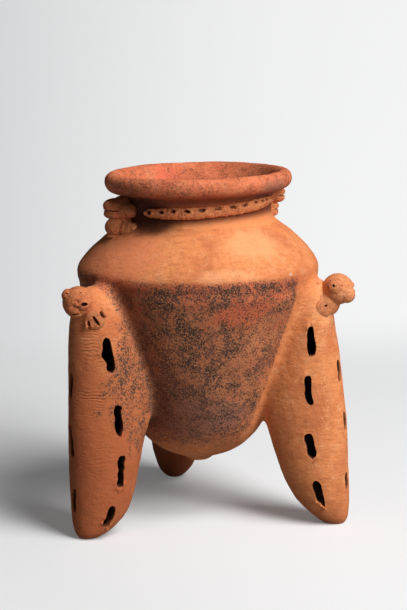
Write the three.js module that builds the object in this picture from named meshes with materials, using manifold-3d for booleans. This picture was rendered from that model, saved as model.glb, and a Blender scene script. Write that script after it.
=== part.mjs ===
// Tripod vase of hand-built earthenware: a round-bottomed bowl luted to a domed shoulder, a short
// neck with a rolled lip, two pricked fillets and two pairs of slit knobs on the neck, and three
// hollow slotted legs that end in small animal heads and hold loose clay rattle pellets.
// Millimetres, +Z up, feet on the ground, origin below the middle of the bounding box.

import * as THREE from 'three';
import { mergeVertices } from 'three/addons/utils/BufferGeometryUtils.js';
import Module from 'manifold-3d';

const wasm = await Module();
wasm.setup();

// Joint lines: every luted piece stands this far from the piece that carries it
const seam = 0.3;

// Bowl and shoulder
const bodyWall = 5.5;
const bowlBase = 33;              // lowest point of the round bottom
const bowlRound = 44;             // radius of the round bottom
const ridgeRadius = 69.4;         // the ridge where bowl and shoulder meet
const ridgeHeight = 146;
const bandHeight = 11;            // nearly upright band of the bowl, below the ridge
const bandDraw = 0.8;             // how far the band draws in at its foot
const nubRadius = 8;              // small worked-off button under the bottom
const nubDrop = 2.2;
const neckSeatRadius = 43.9;
const shoulderRise = 26;          // from the ridge up to the neck's seat
const neckSeatHeight = ridgeHeight + shoulderRise;

// Neck and lip
const waistDraw = 2.3;            // how far the neck draws in above its seat
const neckWaist = neckSeatRadius - waistDraw;
const neckWall = 5;
const neckRise = 28.7;            // from the neck's seat up to the top of the lip
const lipCrest = neckSeatHeight + neckRise;
const lipOverhang = 11.8;
const lipReach = neckWaist + lipOverhang;
const lipThickness = 8.4;
const lipHeight = 11.2;
const lipCentre = { radius: lipReach - lipThickness / 2, height: lipCrest - lipHeight / 2 };
const rimLean = 1.3;              // degrees, the whole rim is higher on its +X side

// Pricked fillet round the front and the back of the neck
const filletRise = 10.6;          // its middle, above the neck's seat
const filletHeight = neckSeatHeight + filletRise;
const filletLean = 4.4;           // degrees
const filletHalfSpan = 56;        // degrees on each side of its middle
const filletDepth = 5.4;          // radial width of the strip of clay
const filletBreadth = 5.6;
const filletSet = 1.2;            // middle of the strip, out from the neck's waist
const prickSpan = 0.84;           // share of the strip that is pricked
const prickCount = 11;
const prickSize = 1.7;
const prickDepth = 2.2;

// Legs
const legDrop = 4.5;              // top of the leg, below the ridge
const legTop = ridgeHeight - legDrop;
const legWall = 4;
const legBury = 9;                // how far the leg's outline runs on behind the bowl wall
const legSides = 18;              // corners of the leg's oval section
const chamberSides = 14;
const chamberFloor = 5;
const crownDepth = 17.5;          // solid clay above the chamber
const chamberTop = legTop - crownDepth;
const archHeight = 52;
const footReach = 87.6;           // outer edge of the foot, from the vase's axis
const footDepth = 11.6;
const footPatch = { outer: footReach, inner: footReach - footDepth, half: 4.6 };
const legSwell = 3.3;             // how far the leg's belly stands out over the foot
const legBelly = { outer: footReach + legSwell, half: 17.8 };
const slotWidth = 4.8;

// Animal head on each leg
const headRadius = 8.8;
const snoutRadius = 4.6;
const eyeRadius = 3.6;
const pawRadius = 5.2;
const pawThickness = 4.6;
const pawFan = 42;                // degrees between neighbouring finger slits
const armRadius = 3.1;
const slitWidth = 1.1;

// Loose rattle pellets in each leg, side by side on the chamber's floor
const pellets = [
  { radius: 4.4, reach: footReach - 7.1 },
  { radius: 3.8, reach: footReach - 16.2 },
];

const roundSteps = 36;

function clay(name, color, roughness) {
  return new THREE.MeshStandardMaterial({ name, color, roughness, metalness: 0 });
}

const finishes = {
  bowl: () => clay('sooty terracotta', 0x8a5138, 0.9),
  shoulder: () => clay('orange terracotta', 0xd58049, 0.85),
  slip: () => clay('red slip', 0xc05f3a, 0.75),
  leg: () => clay('leg terracotta', 0xbf6c42, 0.9),
  applied: () => clay('applied clay', 0xc87748, 0.85),
  pellet: () => clay('pellet clay', 0xb5673a, 0.95),
};

const group = new THREE.Group();
const radians = THREE.MathUtils.degToRad;

// Solids

function solidFrom(geometry) {
  const bare = new THREE.BufferGeometry();
  bare.setAttribute('position', geometry.attributes.position.clone());
  if (geometry.index) bare.setIndex(geometry.index.clone());
  const merged = mergeVertices(bare, 1e-4);
  const points = merged.attributes.position.array;
  const corners = [];
  let volume = 0;
  const at = (i) => new THREE.Vector3().fromArray(points, 3 * i);
  for (let i = 0; i < merged.index.count; i += 3) {
    const [a, b, c] = [0, 1, 2].map((k) => merged.index.getX(i + k));
    if (a === b || b === c || c === a) continue;
    corners.push(a, b, c);
    volume += at(a).dot(at(b).cross(at(c)));
  }
  if (volume < 0) corners.reverse();
  const mesh = new wasm.Mesh({
    numProp: 3,
    vertProperties: new Float32Array(points),
    triVerts: new Uint32Array(corners),
  });
  return new wasm.Manifold(mesh);
}

function geometryFrom(solid) {
  const mesh = solid.getMesh();
  const geometry = new THREE.BufferGeometry();
  geometry.setAttribute('position', new THREE.BufferAttribute(new Float32Array(mesh.vertProperties), 3));
  geometry.setIndex(new THREE.BufferAttribute(new Uint32Array(mesh.triVerts), 1));
  geometry.computeVertexNormals();
  return geometry;
}

function addPiece(name, solid, finish) {
  const piece = new THREE.Mesh(geometryFrom(solid), finish);
  piece.name = name;
  group.add(piece);
  return piece;
}

function moved(solid, matrix) {
  return solidFrom(geometryFrom(solid).applyMatrix4(matrix));
}

// The rim's lean comes in over the shoulder: heights shift with x
function leanAt(x, z) {
  const share = THREE.MathUtils.smoothstep(z, ridgeHeight, neckSeatHeight);
  return x * Math.tan(radians(rimLean)) * share;
}

function leaned(geometry) {
  const p = geometry.attributes.position;
  for (let i = 0; i < p.count; i += 1) {
    p.setZ(i, p.getZ(i) + leanAt(p.getX(i), p.getZ(i)));
  }
  return geometry;
}

// Lathe round the vase's axis from a list of [radius, height]
function turned(outline) {
  const points = outline.map(([r, z]) => new THREE.Vector2(r, z));
  return leaned(new THREE.LatheGeometry(points, roundSteps).rotateX(Math.PI / 2));
}

// Skin between equal rings of points, closed at both ends
function lofted(rings) {
  const count = rings[0].length;
  const points = rings.flat();
  const faces = [];
  for (let i = 0; i < rings.length - 1; i += 1) {
    for (let j = 0; j < count; j += 1) {
      const next = (j + 1) % count;
      const [a, b, c, d] = [i * count + j, i * count + next, (i + 1) * count + next, (i + 1) * count + j];
      faces.push(a, b, c, a, c, d);
    }
  }
  for (const [ring, start, reverse] of [[rings[0], 0, true], [rings.at(-1), points.length - count, false]]) {
    const middle = ring.reduce((sum, p) => sum.add(p), new THREE.Vector3()).divideScalar(count);
    points.push(middle);
    for (let j = 0; j < count; j += 1) {
      const [a, b] = [start + j, start + ((j + 1) % count)];
      faces.push(...(reverse ? [points.length - 1, b, a] : [points.length - 1, a, b]));
    }
  }
  const geometry = new THREE.BufferGeometry().setFromPoints(points);
  geometry.setIndex(faces);
  return geometry;
}

function ball(radius, scale, segments = 12, rings = 8) {
  const geometry = new THREE.SphereGeometry(radius, segments, rings).rotateX(Math.PI / 2);
  return solidFrom(geometry.scale(...scale));
}

// Outline of the vase

const bowlCentre = bowlBase + bowlRound;
const bandFoot = { radius: ridgeRadius - bandDraw, height: ridgeHeight - bandHeight };
const footFromCentre = new THREE.Vector2(bandFoot.radius, bandFoot.height - bowlCentre);
// Slope of the cone that leaves the round bottom as a tangent and ends on the foot of the band
const coneAngle = Math.acos(bowlRound / footFromCentre.length()) - footFromCentre.angle();

function bowlRadiusAt(height) {
  const tangentHeight = bowlCentre - bowlRound * Math.sin(coneAngle);
  if (height < tangentHeight) {
    return Math.sqrt(Math.max(bowlRound ** 2 - (bowlCentre - height) ** 2, 0));
  }
  const cone = bandFoot.radius - (bandFoot.height - height) * Math.tan(coneAngle);
  return Math.min(cone, bandFoot.radius + (height - bandFoot.height) * (bandDraw / bandHeight));
}

// Bowl wall from the axis to the ridge, moved out by the given amount
function bowlSkin(out, arcSteps) {
  const skin = [];
  for (let i = 0; i <= arcSteps; i += 1) {
    const angle = (Math.PI / 2 - coneAngle) * (i / arcSteps);
    const r = bowlRound + out;
    skin.push([r * Math.sin(angle), bowlCentre - r * Math.cos(angle)]);
  }
  skin.push([bandFoot.radius + out / Math.cos(coneAngle), bandFoot.height]);
  skin.push([ridgeRadius + out, ridgeHeight]);
  return skin;
}

const shoulderCurve = new THREE.CubicBezierCurve(
  new THREE.Vector2(ridgeRadius, ridgeHeight),
  new THREE.Vector2(ridgeRadius - 0.3, ridgeHeight + 5.5),
  new THREE.Vector2(neckSeatRadius + 14.1, neckSeatHeight - 10),
  new THREE.Vector2(neckSeatRadius, neckSeatHeight),
);

function shoulderSkin(out, steps) {
  const skin = [];
  for (let i = 0; i <= steps; i += 1) {
    const p = shoulderCurve.getPoint(i / steps);
    const t = shoulderCurve.getTangent(i / steps);
    skin.push([p.x + out * t.y, p.y - out * t.x]);
  }
  return skin;
}

// The neck wall: hollow-sided outside, flaring into the lip
const neckCurve = new THREE.SplineCurve([
  new THREE.Vector2(neckSeatRadius, neckSeatHeight + seam),
  new THREE.Vector2(neckWaist, neckSeatHeight + 6),
  new THREE.Vector2(neckWaist + 0.5, lipCrest - lipHeight - 3),
  new THREE.Vector2(lipCentre.radius, lipCentre.height),
]);

function neckSkin(out, steps) {
  const skin = [];
  for (let i = 0; i <= steps; i += 1) {
    const p = neckCurve.getPoint(i / steps);
    skin.push([p.x + out, p.y]);
  }
  return skin;
}

function lipRing(grow) {
  const ring = [];
  const steps = 12;
  for (let i = 0; i <= steps; i += 1) {
    const angle = (2 * Math.PI * i) / steps;
    ring.push([
      lipCentre.radius + (lipThickness / 2 + grow) * Math.cos(angle),
      lipCentre.height + (lipHeight / 2 + grow) * Math.sin(angle),
    ]);
  }
  return ring;
}

// Body pieces, each luted to the one below along a flat joint

function bowlNub() {
  return [[0, bowlBase - nubDrop], [nubRadius * 0.7, bowlBase - nubDrop * 0.8], [nubRadius, bowlBase + 0.4]];
}

const bowlOuter = bowlSkin(0, 6);
const bowlOuterAboveNub = bowlOuter.filter(([r]) => r > nubRadius);
const bowlInner = bowlSkin(-bodyWall, 5);
const bowl = solidFrom(turned([...bowlNub(), ...bowlOuterAboveNub, ...bowlInner.reverse()]));
addPiece('bowl', bowl, finishes.bowl());

const shoulderOuter = shoulderSkin(0, 6);
const shoulderInner = shoulderSkin(-bodyWall, 5);
shoulderInner[0] = [ridgeRadius - bodyWall, ridgeHeight];
shoulderInner[shoulderInner.length - 1] = [neckSeatRadius - neckWall, neckSeatHeight];
const shoulderOutline = [...shoulderOuter, ...shoulderInner.reverse(), shoulderOuter[0]];
addPiece('shoulder', solidFrom(turned(shoulderOutline)), finishes.shoulder());

const lip = solidFrom(turned(lipRing(0)));
addPiece('lip', lip, finishes.slip());

const neckOuter = neckSkin(0, 5);
const neckOutline = [...neckOuter, ...neckSkin(-neckWall, 4).reverse(), neckOuter[0]];
const lipSeat = solidFrom(turned(lipRing(seam)));
const neck = solidFrom(turned(neckOutline)).subtract(lipSeat);
addPiece('neck', neck, finishes.slip());

// Everything applied to the body is cut back to this slightly grown copy of it
const grownShoulder = shoulderSkin(seam, 6);
const bodyWithSeam = solidFrom(turned([
  [0, bowlBase - nubDrop - seam],
  [nubRadius + seam, bowlBase - nubDrop - seam],
  [nubRadius + seam, bowlBase],
  ...bowlSkin(seam, 6).filter(([r]) => r > nubRadius + seam),
  ...grownShoulder.slice(0, -1),
  ...neckSkin(seam, 5),
  [0, lipCentre.height],
])).add(lipSeat);

// Pricked fillets

// Middle of the strip at a place along it, from -1 to 1, and the way out of the wall there
function filletPlace(side, along) {
  const azimuth = radians(side * 90 + along * filletHalfSpan);
  const out = new THREE.Vector3(Math.cos(azimuth), Math.sin(azimuth), 0);
  const foot = out.clone().multiplyScalar(neckWaist + filletSet);
  foot.z = filletHeight + foot.x * Math.tan(radians(filletLean));
  return { foot, out };
}

function ovalRing(middle, out, depth, breadth, count) {
  const ring = [];
  for (let j = 0; j < count; j += 1) {
    const angle = (2 * Math.PI * j) / count;
    const p = middle.clone().addScaledVector(out, depth * Math.cos(angle));
    p.z += breadth * Math.sin(angle);
    ring.push(p);
  }
  return ring;
}

// Three-sided prick, like the end of a cut reed, pushed in along -out
function prickAt(foot, out, size, depth) {
  const prick = new THREE.CylinderGeometry(size, size * 0.5, depth, 3);
  const turn = new THREE.Quaternion().setFromUnitVectors(new THREE.Vector3(0, 1, 0), out);
  prick.applyQuaternion(turn);
  prick.translate(...foot.toArray());
  return solidFrom(prick);
}

function filletPiece(name, side) {
  const rings = [];
  const steps = 16;
  for (let i = 0; i <= steps; i += 1) {
    const along = (2 * i) / steps - 1;
    const taper = Math.sqrt(1 - 0.75 * Math.abs(along) ** 6);
    const { foot, out } = filletPlace(side, along);
    rings.push(ovalRing(foot, out, (filletDepth / 2) * taper, (filletBreadth / 2) * taper, 8));
  }
  let piece = solidFrom(lofted(rings)).subtract(bodyWithSeam);
  for (let i = 0; i < prickCount; i += 1) {
    const along = prickSpan * ((2 * i) / (prickCount - 1) - 1);
    const { foot, out } = filletPlace(side, along);
    const onSkin = foot.addScaledVector(out, filletDepth / 2);
    piece = piece.subtract(prickAt(onSkin, out, prickSize, prickDepth));
  }
  addPiece(name, piece, finishes.applied());
}

filletPiece('fillet_front', -1);
filletPiece('fillet_back', 1);

// Slit knobs, one above the other on each side of the neck

// Each knob's middle stands out from the neck's waist and up from the neck's seat
const knobs = [
  { name: 'knob_left_upper', azimuth: 180, out: 6.4, rise: 8.6, size: [6.8, 6, 4.8] },
  { name: 'knob_left_lower', azimuth: 180, out: 5.8, rise: -1.2, size: [6.2, 6.2, 4.6] },
  { name: 'knob_right_upper', azimuth: 0, out: 3.8, rise: 14.2, size: [5.6, 5.4, 4.2] },
  { name: 'knob_right_lower', azimuth: 0, out: 3, rise: 5.6, size: [5, 5.4, 4.2] },
];

// Flat slot of the given length, breadth and depth round its own middle
function slit(length, breadth, depth) {
  return solidFrom(new THREE.BoxGeometry(depth, length, breadth));
}

function turnedTo(azimuth, reach, height) {
  const turn = new THREE.Matrix4().makeRotationZ(radians(azimuth));
  return turn.multiply(new THREE.Matrix4().makeTranslation(reach, 0, height));
}

let knobsBelow = bodyWithSeam;
for (const { name, azimuth, out, rise, size } of knobs.toReversed()) {
  const reach = neckWaist + out;
  const height = neckSeatHeight + rise;
  const place = turnedTo(azimuth, reach, height);
  const cut = moved(slit(size[1] * 1.4, slitWidth, size[0]), turnedTo(azimuth, reach + size[0], height));
  const piece = moved(ball(1, size), place).subtract(knobsBelow).subtract(cut);
  addPiece(name, piece, finishes.applied());
  knobsBelow = knobsBelow.add(moved(ball(1, size.map((s) => s + seam)), place));
}

// Legs, each modelled on the +X side and then turned to its place. The top of the leg stands out
// from the ridge by topOut, and the inner side of its arch lies at archReach from the vase's axis.
// The head's middle is set back from the top of the leg by headSet and lies headDrop below it. The
// front row of slots faces the vase's front, and the outer row is staggered round the outside.

const legs = [
  {
    side: 'left', azimuth: 210, topOut: 20.1, topHalf: 17.4, archReach: 47, headSet: 2.4, headDrop: 8.3,
    slots: [
      { height: 105.6, angle: 61.5, length: 21 },
      { height: 68.3, angle: 72, length: 19 },
      { height: 39.5, angle: 82, length: 19 },
      { height: 13.9, angle: 76, length: 14, slant: 18 },
      { height: 87.7, angle: -9, length: 16 },
      { height: 56.5, angle: -9, length: 19.5 },
      { height: 22.7, angle: -7, length: 16 },
    ],
  },
  {
    side: 'right', azimuth: 330, topOut: 11.2, topHalf: 15.8, archReach: 43.6, headSet: -3.6, headDrop: 5.5,
    slots: [
      { height: 107.9, angle: -69, length: 18 },
      { height: 80, angle: -69.7, length: 18 },
      { height: 48.1, angle: -77.6, length: 15.3, slant: -10 },
      { height: 19.8, angle: -77, length: 17, slant: -15 },
      { height: 89.5, angle: -7, length: 14 },
      { height: 60.6, angle: -6.5, length: 12 },
      { height: 25.4, angle: -8, length: 12 },
    ],
  },
  {
    side: 'back', azimuth: 90, topOut: 13.6, topHalf: 16.4, archReach: 45, headSet: -2, headDrop: 6.5,
    slots: [
      { height: 106, angle: 66, length: 18 },
      { height: 74, angle: 70, length: 18 },
      { height: 44, angle: 78, length: 17 },
      { height: 16.5, angle: 77, length: 15, slant: 16 },
      { height: 88, angle: -9, length: 15 },
      { height: 58, angle: -8, length: 16 },
      { height: 24, angle: -8, length: 14 },
    ],
  },
];

function legStations({ topOut, topHalf, archReach }) {
  const topReach = ridgeRadius + topOut;
  const shoulderIn = legBelly.outer - topReach;
  return [
    { height: 0, ...footPatch },
    { height: 4, outer: legBelly.outer - 0.7, inner: footPatch.inner - 6.6, half: 8.9 },
    { height: 13, outer: legBelly.outer - 0.3, inner: footPatch.inner - 16.6, half: 13.1 },
    { height: 25, outer: legBelly.outer - 0.3, inner: footPatch.inner - 22.4, half: 16.3 },
    { height: 40, outer: legBelly.outer - 0.07 * shoulderIn, inner: archReach + 3.4, half: legBelly.half },
    { height: archHeight, outer: legBelly.outer - 0.14 * shoulderIn, inner: archReach, half: legBelly.half },
    { height: 66, outer: legBelly.outer - 0.25 * shoulderIn, inner: archReach - 5.3, half: legBelly.half },
    { height: 80, outer: legBelly.outer - 0.4 * shoulderIn, half: legBelly.half },
    { height: legTop - 37.5, outer: legBelly.outer - 0.72 * shoulderIn, half: topHalf },
    { height: legTop - 19.5, outer: topReach, half: topHalf - 2.4 },
    { height: legTop - 8.5, outer: topReach - 2.5, half: topHalf - 5 },
    { height: legTop - 2.5, outer: topReach - 6, half: topHalf - 8.5 },
    { height: legTop, outer: topReach - 9.5, half: topHalf - 12 },
  ];
}

// Half sizes and middle of a leg's oval section at a height, drawn in by an inset
function legShape(leg) {
  const stations = legStations(leg);
  const heights = stations.map((station) => station.height);
  const curve = (key) => new THREE.CubicInterpolant(
    heights,
    stations.map((station) => station[key] ?? bowlRadiusAt(station.height) - legBury),
    1,
  );
  const curves = { outer: curve('outer'), inner: curve('inner'), half: curve('half') };
  return (height, inset) => {
    const [outer, inner, half] = ['outer', 'inner', 'half'].map((key) => curves[key].evaluate(height)[0]);
    return { middle: (outer + inner) / 2, deep: (outer - inner) / 2 - inset, wide: half - inset };
  };
}

function legRing(shape, height, inset, count) {
  const { middle, deep, wide } = shape(height, inset);
  const ring = [];
  for (let j = 0; j < count; j += 1) {
    const angle = (2 * Math.PI * j) / count;
    ring.push(new THREE.Vector3(middle + deep * Math.cos(angle), wide * Math.sin(angle), height));
  }
  return ring;
}

function legSkin(shape, inset, heights, count) {
  return solidFrom(lofted(heights.map((height) => legRing(shape, height, inset, count))));
}

const crownHeights = [37.5, 19.5, 12, 6.5, 2.5, 0].map((drop) => legTop - drop);
const skinHeights = [0, 1.5, 4, 8, 13, 20, 29, 40, archHeight, 66, 84, ...crownHeights];
const roofHeights = [20, 6, 0].map((drop) => chamberTop - drop);
const chamberHeights = [chamberFloor, 9, 14, 22, 34, archHeight, 66, 84, ...roofHeights];

// Slot pushed through the leg wall at a height and at an angle round its section
function legSlot(shape, { height, angle, length, slant = 0 }) {
  const { middle, deep, wide } = shape(height, 0);
  const turn = radians(angle);
  const foot = new THREE.Vector3(middle + deep * Math.cos(turn), wide * Math.sin(turn), height);
  const out = new THREE.Vector3(Math.cos(turn) / deep, Math.sin(turn) / wide, 0).normalize();
  const rounding = slotWidth / 2;
  const outline = new THREE.Shape();
  outline.absarc(0, length / 2 - rounding, rounding, 0, Math.PI);
  outline.absarc(0, rounding - length / 2, rounding, Math.PI, 2 * Math.PI);
  const depth = 4 * legWall;
  const cutter = new THREE.ExtrudeGeometry(outline, { depth, bevelEnabled: false, curveSegments: 2 });
  cutter.translate(0, 0, -0.75 * depth);
  cutter.rotateZ(radians(slant));
  const up = new THREE.Vector3(0, 0, 1);
  const side = new THREE.Vector3().crossVectors(up, out);
  cutter.applyMatrix4(new THREE.Matrix4().makeBasis(side, up, out).setPosition(foot));
  return solidFrom(cutter);
}

// Animal head: a ball with two slit eyes, a slit snout and two bent arms that end in slit paws.
// The animal is laid out round the middle of its head, looking out along +X.

function armPath(side) {
  return new THREE.QuadraticBezierCurve3(
    new THREE.Vector3(-10, side * 4.5, -1),
    new THREE.Vector3(-7.5, side * 13.2, -1),
    new THREE.Vector3(-4.6, side * 11.2, -8),
  );
}

function armSolid(side, grow) {
  const path = armPath(side);
  const rings = [];
  const steps = 5;
  const count = 8;
  for (let i = 0; i <= steps; i += 1) {
    const middle = path.getPoint(i / steps);
    const along = path.getTangent(i / steps);
    const across = new THREE.Vector3().crossVectors(along, new THREE.Vector3(1, 0, 0)).normalize();
    const out = new THREE.Vector3().crossVectors(across, along);
    const ring = [];
    for (let j = 0; j < count; j += 1) {
      const angle = (2 * Math.PI * j) / count;
      const p = middle.clone().addScaledVector(across, (armRadius + grow) * Math.cos(angle));
      ring.push(p.addScaledVector(out, (armRadius + grow) * Math.sin(angle)));
    }
    rings.push(ring);
  }
  const paw = ball(1, [pawThickness / 2 + grow, pawRadius + grow, pawRadius + grow], 8, 8);
  return solidFrom(lofted(rings)).add(moved(paw, pawMatrix(side)));
}

function pawMatrix(side) {
  const place = new THREE.Matrix4().makeTranslation(-3.6, side * 11.6, -9);
  return place.multiply(new THREE.Matrix4().makeRotationZ(radians(side * 48)));
}

// Three finger slits that fan out downwards over the paw
function pawSlits(side) {
  return [-pawFan, 0, pawFan].map((fan) => {
    const turn = new THREE.Matrix4().makeRotationX(radians(fan));
    const drop = new THREE.Matrix4().makeTranslation(pawThickness / 2, 0, -pawRadius * 0.62);
    const cut = slit(slitWidth, pawRadius * 0.6, pawThickness * 0.6);
    return moved(cut, pawMatrix(side).multiply(turn).multiply(drop));
  });
}

function shifted(solid, x, y, z) {
  return moved(solid, new THREE.Matrix4().makeTranslation(x, y, z));
}

// Eye pellet lying on the head, with its slit
function eyeMatrix(side) {
  const place = new THREE.Matrix4().makeTranslation(4.2, side * 6.4, 3.4);
  return place.multiply(new THREE.Matrix4().makeRotationZ(side * 0.95));
}

function animalPieces(side, carrier, place) {
  const head = (grow) => ball(headRadius + grow, [1, 1, 1], 14, 9);
  const snoutSize = [snoutRadius, snoutRadius * 1.1, snoutRadius * 0.95];
  const snout = (grow) => shifted(ball(1, snoutSize.map((s) => s + grow)), 7, 0, -3.6);
  const mouth = shifted(slit(snoutRadius * 1.6, slitWidth, snoutRadius), 12, 0, -4);
  place(`head_${side}`, head(0).subtract(carrier), finishes.applied());
  place(`snout_${side}`, snout(0).subtract(head(seam)).subtract(mouth), finishes.applied());

  const face = head(seam).add(snout(seam));
  let taken = carrier.add(face);
  for (const [index, hand] of [1, -1].entries()) {
    const eyePlace = eyeMatrix(hand);
    const slitPlace = eyePlace.clone().multiply(new THREE.Matrix4().makeTranslation(eyeRadius * 0.8, 0, 0));
    const blink = moved(slit(eyeRadius * 1.1, slitWidth, eyeRadius * 0.8), slitPlace);
    const eye = moved(ball(1, [eyeRadius * 0.7, eyeRadius, eyeRadius], 10, 6), eyePlace);
    place(`eye_${side}_${index + 1}`, eye.subtract(face).subtract(blink), finishes.applied());
    let arm = armSolid(hand, 0).subtract(taken);
    for (const cut of pawSlits(hand)) arm = arm.subtract(cut);
    place(`arm_${side}_${index + 1}`, arm, finishes.applied());
    taken = taken.add(armSolid(hand, seam));
  }
}

// Height at which a pellet comes to rest over the chamber's sloping floor
function pelletHeight(shape, { radius, reach }) {
  const floor = chamberHeights.map((height) => {
    const { middle, deep } = shape(height, legWall);
    return new THREE.Vector3(middle - deep, 0, height);
  });
  const centre = new THREE.Vector3(reach, 0, chamberFloor + radius + seam);
  const nearest = new THREE.Vector3();
  const gap = () => Math.min(...floor.slice(1).map((end, i) => {
    return new THREE.Line3(floor[i], end).closestPointToPoint(centre, true, nearest).distanceTo(centre);
  }));
  while (gap() < radius + seam) centre.z += 0.02;
  return centre.z;
}

function legPieces(leg) {
  const turn = new THREE.Matrix4().makeRotationZ(radians(leg.azimuth));
  const place = (name, solid, finish) => addPiece(name, moved(solid, turn), finish);
  const bodySeen = moved(bodyWithSeam, turn.clone().invert());
  const shape = legShape(leg);

  const outside = legSkin(shape, 0, skinHeights, legSides);
  const chamber = legSkin(shape, legWall, chamberHeights, chamberSides);
  let wall = outside.subtract(chamber).subtract(bodySeen);
  for (const slot of leg.slots) wall = wall.subtract(legSlot(shape, slot));
  place(`leg_${leg.side}`, wall, finishes.leg());

  const headReach = ridgeRadius + leg.topOut - leg.headSet;
  const toHead = new THREE.Matrix4().makeTranslation(headReach, 0, legTop - leg.headDrop);
  const carrier = bodySeen.add(legSkin(shape, -seam, skinHeights, legSides));
  const carrierSeen = moved(carrier, toHead.clone().invert());
  const placeOnHead = (name, solid, finish) => place(name, moved(solid, toHead), finish);
  animalPieces(leg.side, carrierSeen, placeOnHead);

  for (const [index, pellet] of pellets.entries()) {
    const lump = new THREE.IcosahedronGeometry(pellet.radius, 1);
    lump.translate(pellet.reach, 0, pelletHeight(shape, pellet));
    place(`pellet_${leg.side}_${index + 1}`, solidFrom(lump), finishes.pellet());
  }
}

for (const leg of legs) legPieces(leg);

// The feet stand at height 0; the origin is moved below the middle of the whole vase
const box = new THREE.Box3().setFromObject(group);
const middle = box.getCenter(new THREE.Vector3());
group.position.set(-middle.x, -middle.y, -box.min.z);
group.updateMatrixWorld(true);

export default group;
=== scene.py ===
import math
import random

import bpy
import numpy as np
from mathutils import Matrix, Vector
from mathutils.bvhtree import BVHTree


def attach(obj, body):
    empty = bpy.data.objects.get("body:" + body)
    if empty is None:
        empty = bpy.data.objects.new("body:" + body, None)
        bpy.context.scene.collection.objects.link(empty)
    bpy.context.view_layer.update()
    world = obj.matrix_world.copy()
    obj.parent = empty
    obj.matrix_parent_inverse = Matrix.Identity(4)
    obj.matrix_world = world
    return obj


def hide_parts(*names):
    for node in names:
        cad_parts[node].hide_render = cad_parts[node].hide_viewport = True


# Tripod vase with rattle legs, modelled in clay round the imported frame.
# Lengths in the dictionaries are millimetres, angles are degrees.

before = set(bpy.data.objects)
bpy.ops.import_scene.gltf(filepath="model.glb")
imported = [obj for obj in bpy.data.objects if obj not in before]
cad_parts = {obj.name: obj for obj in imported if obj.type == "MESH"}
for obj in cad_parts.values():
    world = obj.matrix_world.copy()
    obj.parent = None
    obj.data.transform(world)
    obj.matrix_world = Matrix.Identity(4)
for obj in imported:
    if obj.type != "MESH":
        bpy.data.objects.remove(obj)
for leftover in ("Cube", "Camera", "Light"):
    if leftover in bpy.data.objects:
        bpy.data.objects.remove(bpy.data.objects[leftover])
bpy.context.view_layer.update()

mm = 0.001
axisX, axisY = 1.2557 * mm, -13.5843 * mm   # the vase's own axis in the frame


# Ways of working the clay

def only(piece):
    bpy.ops.object.select_all(action="DESELECT")
    piece.select_set(True)
    bpy.context.view_layer.objects.active = piece


def enterEdit(piece, kind="VERT"):
    only(piece)
    bpy.ops.object.mode_set(mode="EDIT")
    bpy.ops.mesh.select_mode(type=kind)


def leaveEdit():
    bpy.ops.object.mode_set(mode="OBJECT")


def settle(piece):
    only(piece)
    bpy.ops.object.transform_apply(location=True, rotation=True, scale=True)


def applyAll(piece):
    only(piece)
    for modifier in list(piece.modifiers):
        bpy.ops.object.modifier_apply(modifier=modifier.name)


def joinPieces(name, pieces):
    bpy.ops.object.select_all(action="DESELECT")
    for piece in pieces:
        piece.select_set(True)
    bpy.context.view_layer.objects.active = pieces[0]
    bpy.ops.object.join()
    joined = bpy.context.object
    joined.name = name
    joined.data.name = name
    return joined


def copyPiece(piece, name):
    only(piece)
    bpy.ops.object.duplicate()
    copy = bpy.context.object
    copy.name = name
    copy.data.name = name
    return copy


def dropPiece(piece):
    bpy.data.objects.remove(piece)


def cut(piece, tool, how="DIFFERENCE", keepTool=False):
    modifier = piece.modifiers.new("cut", "BOOLEAN")
    modifier.operation = how
    modifier.object = tool
    modifier.solver = "MANIFOLD"
    applyAll(piece)
    if not keepTool:
        dropPiece(tool)


def remesh(piece, voxel):
    modifier = piece.modifiers.new("knead", "REMESH")
    modifier.mode = "VOXEL"
    modifier.voxel_size = voxel * mm
    modifier.use_smooth_shade = True
    applyAll(piece)


def smooth(piece, times, factor=0.5, group=None):
    modifier = piece.modifiers.new("smooth", "SMOOTH")
    modifier.factor = factor
    modifier.iterations = times
    if group:
        modifier.vertex_group = group
    applyAll(piece)


def roughen(piece, size, strength, depth=1, group=None):
    texture = bpy.data.textures.new("hand", "CLOUDS")
    texture.noise_scale = size * mm
    texture.noise_depth = depth
    modifier = piece.modifiers.new("roughen", "DISPLACE")
    modifier.texture = texture
    modifier.texture_coords = "LOCAL"
    modifier.strength = strength * mm
    modifier.mid_level = 0.5
    if group:
        modifier.vertex_group = group
    applyAll(piece)


def shadeSmooth(piece, angle=38):
    only(piece)
    bpy.ops.object.shade_smooth_by_angle(angle=math.radians(angle))


def surfaceOf(piece):
    return BVHTree.FromObject(piece, bpy.context.evaluated_depsgraph_get())


# How far each point lies under the uncut surface, for the painted shade inside cuts and slots
def markDepth(piece, uncut):
    depth = np.array([uncut.find_nearest(vertex.co)[3] for vertex in piece.data.vertices]) / mm
    mark = piece.data.attributes.new("depthInWall", "FLOAT", "POINT")
    mark.data.foreach_set("value", smoothStep(depth, 0.2, 1.3).astype(np.float32))


# A primitive, added with everything else deselected
def addPrimitive(operator, **values):
    bpy.ops.object.select_all(action="DESELECT")
    operator(**values)
    return bpy.context.object


# A line of vertices from a start in metres, in steps between points in millimetres
def drawLine(start, points):
    piece = addPrimitive(bpy.ops.mesh.primitive_plane_add, size=0.01, location=(0, 0, 0))
    enterEdit(piece)
    bpy.ops.mesh.select_all(action="SELECT")
    bpy.ops.mesh.merge(type="CENTER")
    bpy.ops.transform.translate(value=start)
    for a, b in zip(points, points[1:]):
        step = tuple((q - p) * mm for p, q in zip(a, b))
        bpy.ops.mesh.extrude_region_move(TRANSFORM_OT_translate={"value": step})
    bpy.ops.mesh.select_all(action="SELECT")
    return piece


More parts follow.
